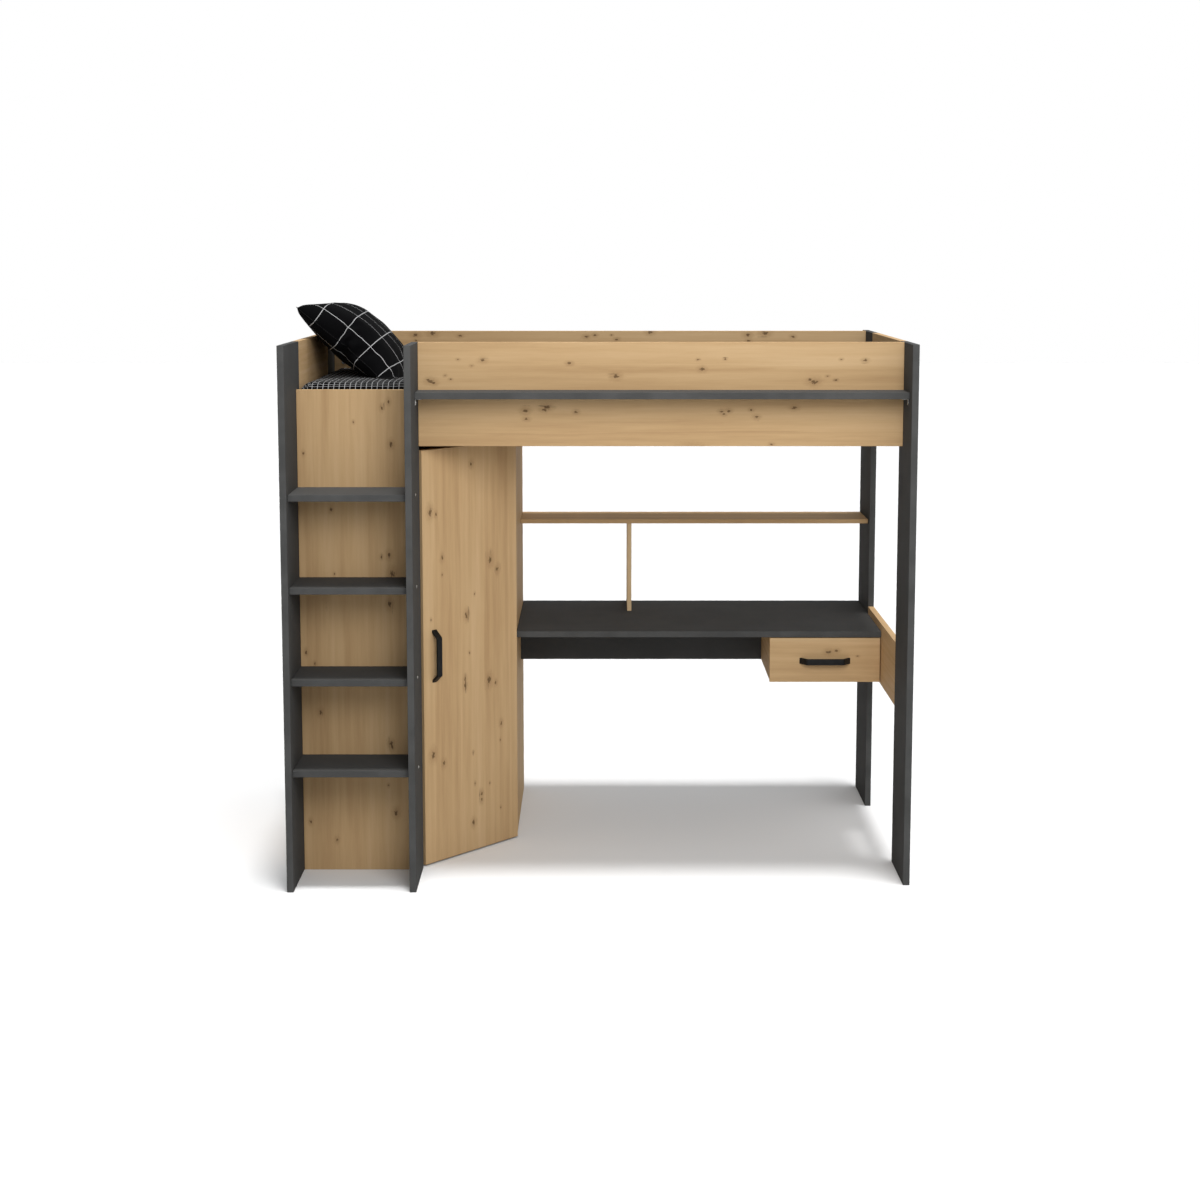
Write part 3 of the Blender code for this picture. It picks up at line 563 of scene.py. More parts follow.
# ---------------------------------------------------------------- Mattress
# A foam mattress in a fitted sheet of black cotton with a thin white check. The sheet is drawn over
# the edges by elastic, so it pulls tight on top, folds a little at the corners and sides.
SHEET_BLACK = (0.0020, 0.0020, 0.0023, 1.0)
CHECK_WHITE = (0.370, 0.370, 0.370, 1.0)
CHECK_PITCH = 0.018
CHECK_LINE = 0.0010
MATTRESS_EDGE = 0.036
MATTRESS_STEP = 0.016
SHEET_PUFF = 0.024
SHEET_EASE = 0.0030
SHEET_PULL = 0.0012
CORNER_FAN = 0.0030
CORNER_FAN_REACH = 0.10
SIDE_GATHER = 0.0022
EDGE_DROP = 0.0040
EDGE_DROP_REACH = 0.07
PILLOW_DENT = 0.0060
DENT_PLACE = (-0.690, 0.167)
DENT_REACH = (0.10, 0.30)
BASE_FLAT = 0.004
WEAVE_WAVES = 5200.0
EDGE_UNROLL = 0.785


def printed_cotton(name, pitch, half_line, ground, line, first=(0.0, 0.0)):
    """Cotton cloth printed with a check, from the piece's cut, with its weave, soft sheen and fade."""
    finish, tree, shader = new_finish(name, 0.85, specular=0.02)
    cut = add(tree, "UVMap", uv_map="cut").outputs[0]
    cut = vector_calc(tree, "SUBTRACT", cut, (*first, 0.0))
    sides = add(tree, "SeparateXYZ", {0: cut})
    rays, weave = [], []
    for socket, turn in ((sides.outputs[0], 0.0), (sides.outputs[1], 1.57)):
        share = calc(tree, "FRACT", calc(tree, "DIVIDE", socket, pitch))
        off = calc(tree, "ABSOLUTE", calc(tree, "SUBTRACT", share, 0.5))
        off = calc(tree, "MULTIPLY", calc(tree, "SUBTRACT", 0.5, off), pitch)
        rays.append(fade(tree, off, half_line * 0.75, half_line * 1.25, 1.0, 0.0))
        weave.append(calc(tree, "SINE", plus(tree, turn, socket, WEAVE_WAVES)))
    thread = calc(tree, "MULTIPLY", *weave)
    cloud = cloudy(tree, cut, 14.0, 3.0)
    lines = calc(tree, "MULTIPLY", calc(tree, "MAXIMUM", *rays), fade(tree, thread, -1.0, 1.0, 0.72, 1.0))
    lint = fade(tree, cloudy(tree, cut, 700.0, 1.0), 0.72, 0.80, 0.0, 0.02)
    cloth = tint(tree, fade(tree, cloud, 0.3, 0.7), ground, [1.5 * c for c in ground[:3]] + [1.0])
    cloth = tint(tree, calc(tree, "ADD", lint, fade(tree, thread, -1.0, 1.0, 0.0, 0.003)), cloth, line)
    tree.links.new(tint(tree, lines, cloth, line), shader.inputs["Base Color"])
    tree.links.new(fade(tree, cloud, 0.3, 0.7, 0.80, 0.92), shader.inputs["Roughness"])
    shader.inputs["Sheen Weight"].default_value = 0.01
    shader.inputs["Sheen Roughness"].default_value = 0.45
    relief(tree, shader, thread, 0.20, 0.0002)
    return finish


def stations(half, edge, step):
    """Places along one side of a rounded block: even on the flat, closer together round the edges."""
    flat = np.linspace(-(half - edge), half - edge, max(2, round(2 * (half - edge) / step)) + 1)
    turn = [edge * math.tan(math.radians(a)) for a in (9, 18, 27, 36, 45)]
    return [-(half - edge) - t for t in reversed(turn)] + list(flat) + [half - edge + t for t in turn]


def rounded_block(half, edge, step):
    """Points, faces and cut places of a block with round edges. Each face is a grid of its own."""
    points, faces, cuts = {}, [], []
    rows = [stations(h, edge, step) for h in half]
    for axis in range(3):
        a, b = [i for i in range(3) if i != axis]
        for side in (-1, 1):
            for i in range(len(rows[a]) - 1):
                for j in range(len(rows[b]) - 1):
                    ring = [(i, j), (i + 1, j), (i + 1, j + 1), (i, j + 1)]
                    if (side > 0) == (axis == 1):
                        ring.reverse()
                    face, cut = [], []
                    for p, q in ring:
                        spot = [0.0, 0.0, 0.0]
                        spot[axis], spot[a], spot[b] = side * half[axis], rows[a][p], rows[b][q]
                        key = tuple(round(value, 6) for value in spot)
                        face.append(points.setdefault(key, len(points)))
                        down = half[2] - spot[2]
                        if axis == 2:
                            cut.append((spot[0], spot[1]))
                        elif axis == 1:
                            cut.append((spot[0], side * (half[1] + EDGE_UNROLL * down)))
                        else:
                            cut.append((side * (half[0] + EDGE_UNROLL * down), spot[1]))
                    faces.append(face)
                    cuts.extend(cut)
    return np.array(list(points)), faces, cuts


low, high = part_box("mattress")
high.z += SHEET_PUFF
middle, half = np.array((low + high) / 2), np.array((high - low) / 2)
places, faces, cuts = rounded_block(half, MATTRESS_EDGE, MATTRESS_STEP)
core = np.clip(places, -(half - MATTRESS_EDGE), half - MATTRESS_EDGE)
outward = places - core
outward /= np.linalg.norm(outward, axis=1)[:, None]
places = core + outward * MATTRESS_EDGE
for index, place in enumerate(places):
    x, y, z = place
    upper = max(0.0, outward[index][2])
    side = 1.0 - abs(outward[index][2])
    corner = min(half[0] - abs(x), half[1] - abs(y))
    far = math.hypot(half[0] - abs(x), half[1] - abs(y))
    ease = noise.noise((x * 2.1, y * 3.0, 0.3)) * SHEET_EASE * upper
    pull = noise.noise((x * 9.0 + y * 4.0, y * 7.0, 5.0)) * SHEET_PULL * upper
    angle = math.atan2(half[1] - abs(y), half[0] - abs(x))
    folds = math.sin(angle * 22.0 + 3.0 * noise.noise((x * 3, y * 3, 1.0)))
    fan = folds * CORNER_FAN * math.exp(-far / CORNER_FAN_REACH)
    gather = noise.noise((x * 26.0, y * 26.0, z * 3.0)) * SIDE_GATHER * side * (1.0 if z < 0.02 else 0.5)
    drop = EDGE_DROP * math.exp(-max(corner, 0.0) / EDGE_DROP_REACH) * upper
    off_x = (x + middle[0] - DENT_PLACE[0]) / DENT_REACH[0]
    off_y = (y + middle[1] - DENT_PLACE[1]) / DENT_REACH[1]
    dent = PILLOW_DENT * math.exp(-off_x**2 - off_y**2) * upper
    shift = ease + pull + fan + gather - drop - dent if z > BASE_FLAT - half[2] else 0.0
    places[index] = place + outward[index] * shift
mesh = bpy.data.meshes.new("mattress_in_sheet")
mesh.from_pydata((places + middle).tolist(), [], faces)
cut_layer = mesh.uv_layers.new(name="cut")
cut_layer.data.foreach_set("uv", np.array(cuts, np.float32).ravel())
mesh.materials.append(printed_cotton("checked_sheet", CHECK_PITCH, CHECK_LINE, SHEET_BLACK, CHECK_WHITE))
mesh.shade_smooth()
mattress = bpy.data.objects.new("mattress_in_sheet", mesh)
bpy.context.scene.collection.objects.link(mattress)
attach(mattress, "frame")
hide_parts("mattress")

# ---------------------------------------------------------------- Pillow
# A fibre-filled pillow in a black cotton slip with a wide thin white check. Two flat rectangles are
# sewn round the edge and filled, and the pillow leans from the sheet over the left end panel.
PILLOW_CUT = (0.520, 0.715)
PILLOW_CELLS = (44, 60)
PILLOW_SIZE = (0.500, 0.650)
PILLOW_RISE = (0.112, 0.062)
PILLOW_LEAN = math.radians(40.5)
PILLOW_MIDDLE = Vector((-0.852, 0.167, 1.738))
PILLOW_PITCH = 0.106
PILLOW_FIRST = (0.088, 0.070)
PILLOW_LINE = 0.0012
PILLOW_TICKS = 40
FIRST_BULGE = 0.012
SLIP_LINE = (0.520, 0.520, 0.520, 1.0)
SEAM_THREAD = (0.018, 0.018, 0.018, 1.0)
SEAM_ROUND = 0.0014
EAR_ZONE = 0.14
EAR_BLUNT = 0.012
FAR_EAR_DROOP = 0.055
NEAR_FOOT_DROOP = 0.060
NEAR_FOOT_SPREAD = (0.110, 0.200)
NEAR_FOOT_RIPPLE = 0.040
FOOT_THINNER = 0.10
ABOVE_SHEET = 0.0005
ABOVE_PANEL = 0.0015


def sewn_sheets(cells, cut, bulge):
    """Two sheets with a common edge: points, faces, cut places and the points along the seam."""
    numbers, points, faces, cuts = {}, [], [], []
    for side in (1, -1):
        for i in range(cells[0] + 1):
            for j in range(cells[1] + 1):
                on_edge = i in (0, cells[0]) or j in (0, cells[1])
                key = (0 if on_edge else side, i, j)
                if key not in numbers:
                    u, v = i / cells[0], j / cells[1]
                    rise = side * bulge * math.sin(math.pi * u) * math.sin(math.pi * v)
                    numbers[key] = len(points)
                    points.append(((u - 0.5) * cut[0], (v - 0.5) * cut[1], rise))
        for i in range(cells[0]):
            for j in range(cells[1]):
                ring = [(i, j), (i + 1, j), (i + 1, j + 1), (i, j + 1)]
                ring = ring if side > 0 else ring[::-1]
                at_edge = [p in (0, cells[0]) or q in (0, cells[1]) for p, q in ring]
                faces.append([numbers[(0 if edge else side, p, q)] for edge, (p, q) in zip(at_edge, ring)])
                cuts.extend((p / cells[0] * cut[0], q / cells[1] * cut[1]) for p, q in ring)
    edge = [(i, 0) for i in range(cells[0])] + [(cells[0], j) for j in range(cells[1])]
    edge += [(i, cells[1]) for i in range(cells[0], 0, -1)] + [(0, j) for j in range(cells[1], 0, -1)]
    return points, faces, cuts, [numbers[(0, i, j)] for i, j in edge]


bulge = FIRST_BULGE
points, faces, cuts, seam = sewn_sheets(PILLOW_CELLS, PILLOW_CUT, bulge)
mesh = bpy.data.meshes.new("pillow_in_slip")
mesh.from_pydata(points, [], faces)
mesh.uv_layers.new(name="cut").data.foreach_set("uv", np.array(cuts, np.float32).ravel())
pillow = bpy.data.objects.new("pillow_in_slip", mesh)
bpy.context.scene.collection.objects.link(pillow)
filling = pillow.modifiers.new("filling", "CLOTH")
cloth = filling.settings
cloth.quality = 6
cloth.mass = 0.25
cloth.air_damping = 2.0
cloth.tension_stiffness = 20.0
cloth.compression_stiffness = 12.0
cloth.shear_stiffness = 6.0
cloth.bending_stiffness = 0.15
cloth.use_pressure = True
cloth.uniform_pressure_force = 6.0
cloth.effector_weights.gravity = 0.0
filling.point_cache.frame_start = 1
filling.point_cache.frame_end = PILLOW_TICKS
for tick in range(1, PILLOW_TICKS + 1):
    bpy.context.scene.frame_set(tick)
filled = pillow.evaluated_get(bpy.context.evaluated_depsgraph_get()).to_mesh()
blown_up = np.zeros(len(filled.vertices) * 3, np.float32)
filled.vertices.foreach_get("co", blown_up)
pillow.modifiers.remove(filling)
bpy.context.scene.frame_set(1)
mesh.vertices.foreach_set("co", blown_up)

shape = np.array([vertex.co for vertex in mesh.vertices])
shape -= (shape.max(0) + shape.min(0)) / 2 * np.array((1.0, 1.0, 0.0))
shape[:, 0] *= PILLOW_SIZE[0] / np.ptp(shape[:, 0])
shape[:, 1] *= PILLOW_SIZE[1] / np.ptp(shape[:, 1])
upper_share, lower_share = PILLOW_RISE[0] / shape[:, 2].max(), PILLOW_RISE[1] / -shape[:, 2].min()
shape[:, 2] *= np.where(shape[:, 2] > 0, upper_share, lower_share)
side_x, side_y = shape[:, 0] / (PILLOW_SIZE[0] / 2), shape[:, 1] / (PILLOW_SIZE[1] / 2)
ear = np.clip(np.minimum(np.abs(side_x), np.abs(side_y)) - (1.0 - EAR_ZONE), 0.0, None) / EAR_ZONE
shape[:, 0] -= np.sign(side_x) * EAR_BLUNT * ear**2
shape[:, 1] -= np.sign(side_y) * EAR_BLUNT * ear**2
far_ear = np.clip(-side_x - 0.1, 0, None) * np.clip(side_y - 0.1, 0, None)
near_foot = np.clip(side_x - 0.35, 0, None) * np.clip(-side_y - 0.45, 0, None)
shape[:, 2] -= FAR_EAR_DROOP * far_ear + NEAR_FOOT_DROOP * near_foot
shape[:, 2] *= 1.0 - FOOT_THINNER * side_x
shape[:, 1] -= NEAR_FOOT_SPREAD[1] * near_foot
shape[:, 0] -= NEAR_FOOT_SPREAD[0] * near_foot
shape[:, 2] += NEAR_FOOT_RIPPLE * near_foot * np.sin(shape[:, 0] * 150.0 + shape[:, 1] * 90.0)
turn = Matrix.Translation(PILLOW_MIDDLE) @ Matrix.Rotation(PILLOW_LEAN, 4, "Y")
sheet_top = float((places + middle)[:, 2].max())
panel_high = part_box("end_panel_left")[1]
for vertex, spot in zip(mesh.vertices, shape):
    there = turn @ Vector(spot)
    there.z = max(there.z, sheet_top + ABOVE_SHEET - 0.02 * max(0.0, sheet_top - there.z))
    if there.x < panel_high.x + 0.001:
        there.z = max(there.z, panel_high.z + ABOVE_PANEL)
    vertex.co = there
slip = printed_cotton("checked_slip", PILLOW_PITCH, PILLOW_LINE, SHEET_BLACK, SLIP_LINE, PILLOW_FIRST)
mesh.materials.append(slip)
mesh.shade_smooth()
finer = pillow.modifiers.new("finer", "SUBSURF")
finer.levels = 1
finer.render_levels = 1
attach(pillow, "frame")
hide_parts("pillow")

seam_curve = bpy.data.curves.new("pillow_seam", "CURVE")
seam_curve.dimensions = "3D"
seam_curve.bevel_depth = SEAM_ROUND
seam_curve.bevel_resolution = 2
run = seam_curve.splines.new("POLY")
run.points.add(len(seam) - 1)
for point, number in zip(run.points, seam):
    point.co = (*mesh.vertices[number].co, 1.0)
run.use_cyclic_u = True
thread_finish, tree, shader = new_finish("black_seam", 0.85, specular=0.04)
stitches = calc(tree, "SINE", calc(tree, "MULTIPLY", add(tree, "TexCoord").outputs["UV"], 1800.0))
stitched = tint(tree, fade(tree, stitches, -0.5, 0.9), SHEET_BLACK, SEAM_THREAD)
tree.links.new(stitched, shader.inputs["Base Color"])
relief(tree, shader, stitches, 0.4, 0.0003)
seam_curve.materials.append(thread_finish)
seam_piece = bpy.data.objects.new("pillow_seam", seam_curve)
bpy.context.scene.collection.objects.link(seam_piece)
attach(seam_piece, "frame")

# ---------------------------------------------------------------- Desk
# A 22 mm anthracite desktop with an anthracite stiffener under its rear, an oak-print end board on
# the right, and behind it a thin oak-print shelf on one upright.
OAK_LIGHT = ((0.560, 0.370, 0.190, 1.0), (0.760, 0.550, 0.320, 1.0), (0.880, 0.690, 0.450, 1.0))
anthracite_board("desktop", X_AXIS, Y_AXIS)
anthracite_board("desk_back_panel", X_AXIS, Z_AXIS)
oak_board("desk_end_panel", Y_AXIS, Z_AXIS, wild=0.2)
oak_board("desk_shelf", X_AXIS, Y_AXIS, wild=0.15)
oak_board("desk_shelf_divider", Z_AXIS, Y_AXIS, wild=0.15, colours=OAK_LIGHT)

# ---------------------------------------------------------------- Drawer
# A 12 mm oak-print box behind a 16 mm front, on steel runners between two short housing sides.
oak_board("drawer_housing_left", Y_AXIS, Z_AXIS, wild=0.2)
oak_board("drawer_housing_right", Y_AXIS, Z_AXIS, wild=0.2)
drawer_knots = spots((0.815, 0.664, 0.007), (0.842, 0.668, 0.005), (0.918, 0.649, 0.003))
oak_board("drawer_front", X_AXIS, Z_AXIS, drawer_knots, wild=0.0)
oak_board("drawer_side_left", Y_AXIS, Z_AXIS)
oak_board("drawer_side_right", Y_AXIS, Z_AXIS)
oak_board("drawer_back", X_AXIS, Z_AXIS)
oak_board("drawer_bottom", X_AXIS, Y_AXIS)

runner_steel = metal("runner_steel", (0.66, 0.66, 0.64), 0.36, 500.0)
RUNNER_SCREWS = (0.035, 0.265)
RUNNER_SHEET = 0.0014
RUNNER_HEAD_RISE = 0.0009
fixed_screws, moving_screws = bmesh.new(), bmesh.new()
for name in ("runner_fixed_left", "runner_fixed_right", "runner_moving_left", "runner_moving_right"):
    refinish(name, runner_steel)
for side, inward in (("left", 1), ("right", -1)):
    low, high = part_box(f"runner_fixed_{side}")
    face = low.x + RUNNER_SHEET if inward > 0 else high.x - RUNNER_SHEET
    for y in RUNNER_SCREWS:
        middle = (face, low.y + y, (low.z + high.z) / 2)
        screw_into(fixed_screws, middle, X_AXIS * inward, 0.0030, RUNNER_HEAD_RISE)
    low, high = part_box(f"runner_moving_{side}")
    face = low.x if inward > 0 else high.x
    for y in RUNNER_SCREWS:
        middle = (face, low.y + y, (low.z + high.z) / 2)
        screw_into(moving_screws, middle, -X_AXIS * inward, 0.0028, RUNNER_HEAD_RISE)
piece("runner_screws_fixed", fixed_screws, zinc, "frame")
piece("runner_screws_moving", moving_screws, zinc, "drawer")

# ---------------------------------------------------------------- Drawer handle
# A bow of 22 x 8 mm flat bar, bent at two corners and powder-coated black. Two screws through the
# front hold its feet. The door has the same handle, stood upright.
FOOT_HALF = 0.0852
BEND_HALF = 0.0640
HANDLE_REACH = 0.028
HANDLE_BAND = 0.008
HANDLE_WIDE = 0.022
HANDLE_EDGE = 0.0020
HANDLE_SCREW = 0.082
HANDLE_GAP = 0.00015
BEND_RADIUS = 0.0050
BEND_STEPS = 8
COAT_BLACK = (0.0065, 0.0065, 0.0070, 1.0)
COAT_DUST = (0.0120, 0.0120, 0.0120, 1.0)

powder_coat, tree, shader = new_finish("black_powder_coat", 0.42, specular=0.25)
place = add(tree, "TexCoord").outputs["Object"]
peel = cloudy(tree, place, 1400.0, 2.0)
dust = fade(tree, cloudy(tree, place, 45.0, 4.0), 0.45, 0.75)
tree.links.new(tint(tree, dust, COAT_BLACK, COAT_DUST), shader.inputs["Base Color"])
tree.links.new(fade(tree, peel, 0.3, 0.7, 0.36, 0.52), shader.inputs["Roughness"])
relief(tree, shader, peel, 0.35, 0.0002)


def bow_handle(name, node, middle, along, out, body, board):
    """Sweeps a round-edged flat bar along the bow, feet cut flush with the face, and screws it on."""
    wide = along.cross(out)
    top = HANDLE_REACH - HANDLE_BAND / 2
    slope = math.atan2(top, FOOT_HALF - BEND_HALF)
    before_bend = BEND_RADIUS * math.tan(slope / 2)
    bend_x = -BEND_HALF - before_bend * math.cos(slope)
    bend_y = top - before_bend * math.sin(slope)
    path = [(-FOOT_HALF, 0.0, slope, True), ((bend_x - FOOT_HALF) / 2, bend_y / 2, slope, False)]
    for k in range(BEND_STEPS + 1):
        angle = slope * (1 - k / BEND_STEPS)
        x = bend_x + BEND_RADIUS * (math.sin(slope) - math.sin(angle))
        y = bend_y + BEND_RADIUS * (math.cos(angle) - math.cos(slope))
        path.append((x, y, angle, False))
    path += [(-x, y, -angle, foot) for x, y, angle, foot in reversed(path)]
    flat, thin = HANDLE_WIDE / 2 - HANDLE_EDGE, HANDLE_BAND / 2 - HANDLE_EDGE
    section = []
    for sx, sy, start in ((1, 1, 0), (-1, 1, 90), (-1, -1, 180), (1, -1, 270)):
        for k in range(5):
            turn = math.radians(start + k * 22.5)
            w = sx * flat + HANDLE_EDGE * math.cos(turn)
            section.append((w, sy * thin + HANDLE_EDGE * math.sin(turn)))
    shape = bmesh.new()
    rings = []
    base = middle + out * HANDLE_GAP
    for x, y, angle, foot in path:
        over, up = -math.sin(angle), math.cos(angle)
        if foot:
            over, up = -math.copysign(1 / math.sin(slope), angle), 0.0
        ring = []
        for w, thick in section:
            spot = base + along * (x + over * thick) + out * (y + up * thick) + wide * w
            ring.append(shape.verts.new(spot))
        rings.append(ring)
    for one, two in zip(rings, rings[1:]):
        for i in range(len(section)):
            shape.faces.new((one[i - 1], one[i], two[i], two[i - 1]))
    shape.faces.new(rings[0])
    shape.faces.new(rings[-1])
    made = piece(name, shape, powder_coat, body, 50)
    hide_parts(node)
    heads = bmesh.new()
    for side in (-1, 1):
        screw_into(heads, middle + along * side * HANDLE_SCREW - out * board, -out, 0.0042, 0.0022)
    piece(f"{name}_screws", heads, zinc, body)


FRONT_THICK = 0.01615
low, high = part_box("drawer_handle")
handle_middle = Vector(((low.x + high.x) / 2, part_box("drawer_front")[0].y, (low.z + high.z) / 2))
bow_handle("drawer_bow_handle", "drawer_handle", handle_middle, X_AXIS, -Y_AXIS, "drawer", FRONT_THICK)

# ---------------------------------------------------------------- Wardrobe
# Oak-print boards with upright grain close the corner under the bed: the left side, a back, the
# short right side that carries the hinges, and one shelf.
for name in ("wardrobe_side_left", "wardrobe_side_right"):
    oak_board(name, Z_AXIS, Y_AXIS)
oak_board("wardrobe_back", Z_AXIS, X_AXIS)
oak_board("wardrobe_shelf", X_AXIS, Y_AXIS)

chrome = metal("chrome_tube", (0.74, 0.74, 0.75), 0.14, 120.0)
refinish("hanging_rail", chrome)
SOCKET_THICK = 0.0080
SOCKET_SCREW = 0.0148
socket_screws = bmesh.new()
for name, inward in (("rail_socket_left", 1), ("rail_socket_right", -1)):
    refinish(name, zinc)
    low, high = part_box(name)
    middle = (low + high) / 2
    face = low.x + SOCKET_THICK if inward > 0 else high.x - SOCKET_THICK
    for z in (middle.z - SOCKET_SCREW, middle.z + SOCKET_SCREW):
        screw_into(socket_screws, (face, middle.y, z), X_AXIS * inward, 0.0022, 0.0008)
piece("rail_socket_screws", socket_screws, zinc, "frame")

# ---------------------------------------------------------------- Wardrobe door
# One slanting 16 mm oak-print board across the corner. Its hinges are on its right edge.
HANDLE_FROM_EDGE = 0.050
door_joint = next(joint for joint in frame["joints"] if joint["name"] == "door_hinge")
hinge_axis = Vector((*door_joint["pos_m"][:2], 0.0))
door_points = [vertex.co for vertex in frame["nodes"]["wardrobe_door"].data.vertices]
free_corner = min(door_points, key=lambda p: p.y)
free_edge = Vector((free_corner.x, free_corner.y, 0.0))
door_width = (hinge_axis - free_edge).length
door_across = (hinge_axis - free_edge).normalized()
door_knots = [
    (free_edge + Z_AXIS * z + door_across * share * door_width, size)
    for share, z, size in (
        (0.51, 1.362, 0.006), (0.08, 1.215, 0.010), (0.14, 1.204, 0.005), (0.20, 1.053, 0.006),
        (0.20, 0.995, 0.003), (0.71, 1.021, 0.010), (0.79, 0.983, 0.007), (0.54, 0.911, 0.003),
        (0.45, 0.841, 0.008), (0.08, 0.848, 0.003), (0.48, 0.708, 0.003), (0.43, 0.620, 0.006),
        (0.43, 0.598, 0.007), (0.69, 0.597, 0.010), (0.76, 0.583, 0.005), (0.82, 0.433, 0.006),
        (0.81, 0.373, 0.003), (0.09, 0.382, 0.010), (0.20, 0.343, 0.007), (0.51, 0.354, 0.003),
        (0.53, 0.242, 0.003), (0.69, 0.228, 0.003), (0.60, 0.198, 0.006), (0.60, 0.178, 0.006),
        (0.51, 0.104, 0.007), (0.81, 0.130, 0.003),
    )
]
oak_board("wardrobe_door", Z_AXIS, door_across, door_knots, wild=0.04)

door_out = Vector((-door_across.y, door_across.x, 0.0))
if door_out.y > 0:
    door_out = -door_out
low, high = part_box("door_handle")
handle_middle = free_edge + door_across * HANDLE_FROM_EDGE + Z_AXIS * (low.z + high.z) / 2
bow_handle("door_bow_handle", "door_handle", handle_middle, Z_AXIS, door_out, "door", FRONT_THICK)

# ---------------------------------------------------------------- Door hinges
# Three nickelled cup hinges. Each cup sits in a 35 mm bore under a flange with two screws. Its two
# links turn out of the cup to the arm, which is clipped to a screwed plate on the wardrobe side.
FLANGE_FROM_EDGE = 0.0315
FLANGE_HALF = 0.029
FLANGE_WIDE = 0.0065
FLANGE_THICK = 0.0016
FLANGE_SCREW = 0.024
CUP_FROM_EDGE = 0.022
CUP_DEPTH = 0.004
PLATE_THICK = 0.0025
PLATE_SCREW_BACK = 0.048
PLATE_SCREW_UP = 0.01632
ARM_SCREWS = (0.036, 0.054)
ARM_PIN = (0.0045, 0.006)
LINK_APART = 0.0045
LINK_THIN = 0.0009
LINK_TALL = 0.0052
LINK_STEPS = 12
LINK_CORNERS = ((1, 1), (-1, 1), (-1, -1), (1, -1))
nickel = metal("nickelled_steel", (0.66, 0.64, 0.60), 0.24, 260.0)


def rounded_bar(shape, middle, along, wide, out, half, radius, thick):
    """A flat bar with round ends on a face that looks along out."""
    outline = []
    for end in (1, -1):
        for k in range(13):
            turn = math.radians(-90 + k * 15)
            over = end * (half - radius + radius * math.cos(turn))
            outline.append(middle + along * over + wide * end * radius * math.sin(turn))
    lower = [shape.verts.new(spot) for spot in outline]
    edge = [shape.verts.new(spot + out * thick * 0.7) for spot in outline]
    upper = [shape.verts.new(middle + (spot - middle) * 0.96 + out * thick) for spot in outline]
    for one, two in ((lower, edge), (edge, upper)):
        for i in range(len(outline)):
            shape.faces.new((one[i - 1], one[i], two[i], two[i - 1]))
    shape.faces.new(lower)
    shape.faces.new(upper)


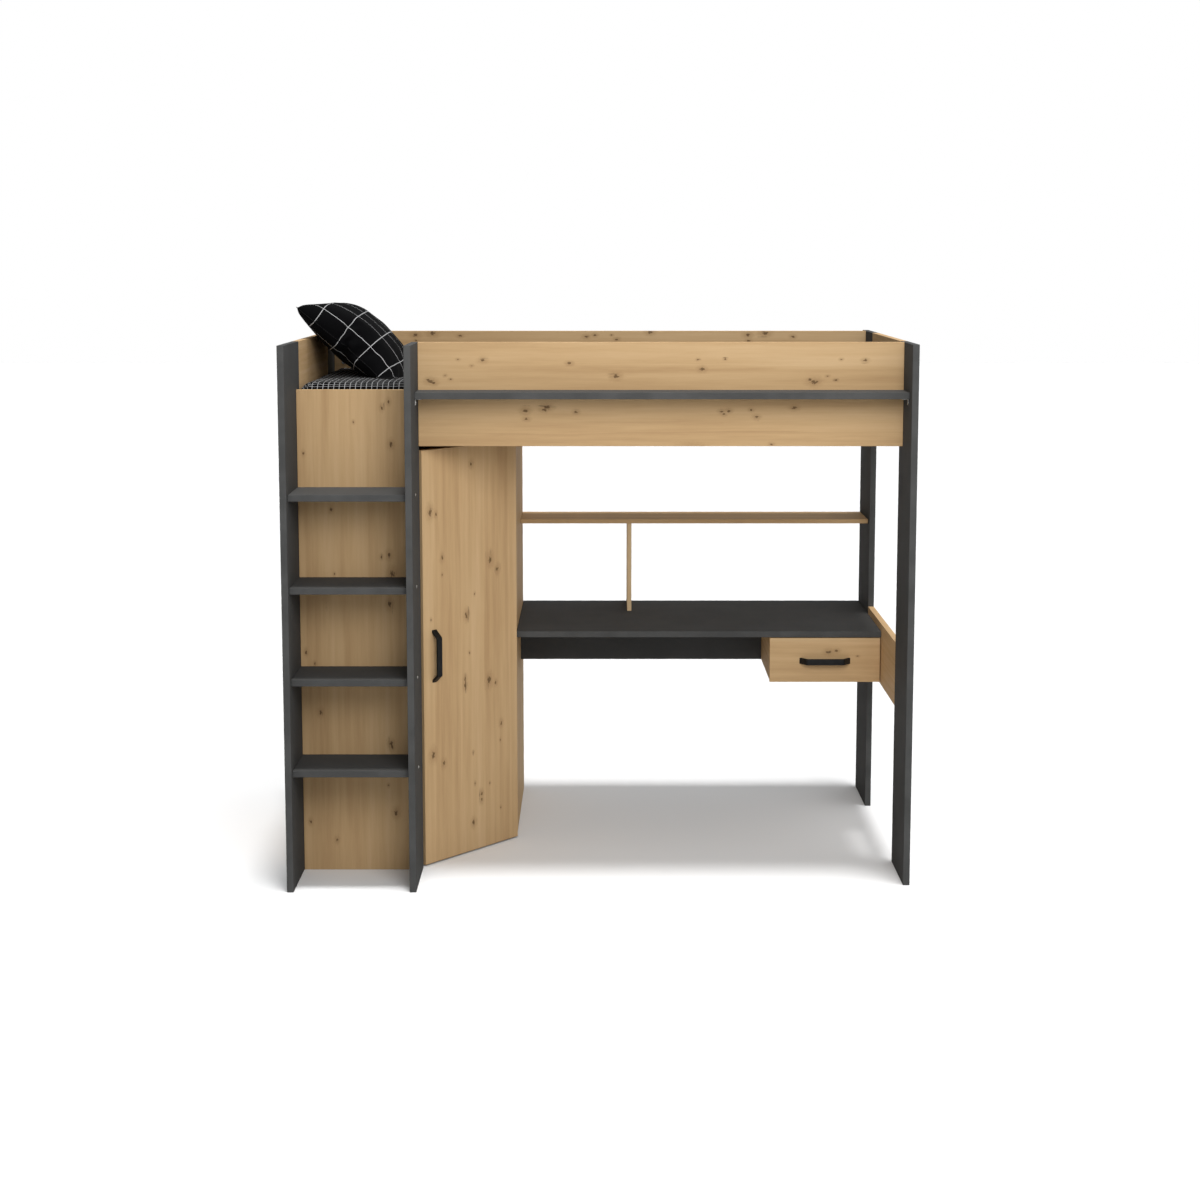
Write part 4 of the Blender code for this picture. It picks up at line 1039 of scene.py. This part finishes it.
into_door = -door_out
edge_line = hinge_axis + into_door * FRONT_THICK
flanges, flange_screws, plate_screws = bmesh.new(), bmesh.new(), bmesh.new()
for i in range(3):
    refinish(f"hinge_cup_{i + 1}", nickel)
    refinish(f"hinge_arm_{i + 1}", nickel)
    low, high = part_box(f"hinge_arm_{i + 1}")
    height = Z_AXIS * (low.z + high.z) / 2
    flange = edge_line - door_across * FLANGE_FROM_EDGE + height
    rounded_bar(flanges, flange, Z_AXIS, door_across, into_door, FLANGE_HALF, FLANGE_WIDE, FLANGE_THICK)
    for side in (-1, 1):
        seat = flange + Z_AXIS * side * FLANGE_SCREW + into_door * FLANGE_THICK
        screw_into(flange_screws, seat, into_door, 0.0036)
        seat = (high.x - PLATE_THICK, low.y + PLATE_SCREW_BACK, height.z + side * PLATE_SCREW_UP)
        screw_into(plate_screws, seat, -X_AXIS, 0.0034)
    for y in ARM_SCREWS:
        screw_into(plate_screws, (low.x, low.y + y, height.z), -X_AXIS, 0.0036, 0.0009)

    cup = edge_line - door_across * CUP_FROM_EDGE + height - into_door * CUP_DEPTH
    arm = Vector((low.x + ARM_PIN[0], low.y + ARM_PIN[1], height.z))
    for number in (1, 2):
        links = bmesh.new()
        rows = []
        for k in range(LINK_STEPS + 1):
            spot = arm.lerp(cup, k / LINK_STEPS) + X_AXIS * LINK_APART * (number - 1)
            offsets = [X_AXIS * a * LINK_THIN + Z_AXIS * b * LINK_TALL for a, b in LINK_CORNERS]
            rows.append([links.verts.new(spot + offset) for offset in offsets])
        for one, two in zip(rows, rows[1:]):
            for j in range(4):
                links.faces.new((one[j - 1], one[j], two[j], two[j - 1]))
        links.faces.new(rows[0])
        links.faces.new(rows[-1])
        made = piece(f"hinge_link_{i + 1}_{number}", links, nickel, None)
        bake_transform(made)
piece("hinge_flanges", flanges, nickel, "door")
piece("hinge_flange_screws", flange_screws, nickel, "door")
piece("hinge_plate_screws", plate_screws, nickel, "frame")

# ---------------------------------------------------------------- Cam locks
# Round zinc cams, 15 mm across, sunk in the hidden faces. Each is turned a half turn to pull the
# head of a steel dowel, which draws the boards together at their corners.
CAM_RADIUS = 0.0075
CAM_RISE = 0.0007
CAM_FROM_END = 0.034
cams = bmesh.new()


def cam_pairs(name, out, ends, across):
    """Cams on one face of a board, at each end along one axis and at two places across it."""
    low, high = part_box(name)
    facing = max(range(3), key=lambda axis: abs(out[axis]))
    run, other = [axis for axis in range(3) if axis != facing]
    if high[run] - low[run] < high[other] - low[other]:
        run, other = other, run
    for end in ends:
        for share in across:
            spot = Vector()
            spot[facing] = high[facing] if out[facing] > 0 else low[facing]
            spot[run] = low[run] + CAM_FROM_END if end < 0 else high[run] - CAM_FROM_END
            spot[other] = low[other] + share * (high[other] - low[other])
            screw_into(cams, spot, out, CAM_RADIUS, CAM_RISE)


for i in range(4):
    cam_pairs(f"step_{i + 1}", -Z_AXIS, (-1,), (0.25, 0.75))
for name, out in (("guard_rail_front", Y_AXIS), ("guard_rail_back", -Y_AXIS)):
    cam_pairs(name, out, (-1, 1), (0.30, 0.62))
cam_pairs("desk_back_panel", Y_AXIS, (-1, 1), (0.25, 0.75))
cam_pairs("desktop", -Z_AXIS, (-1, 1), (0.72, 0.92))
cam_pairs("desk_shelf", -Z_AXIS, (-1, 1), (0.25, 0.75))
cam_pairs("wardrobe_back", Y_AXIS, (-1, 1), (0.15, 0.85))
piece("cam_locks", cams, zinc, "frame")
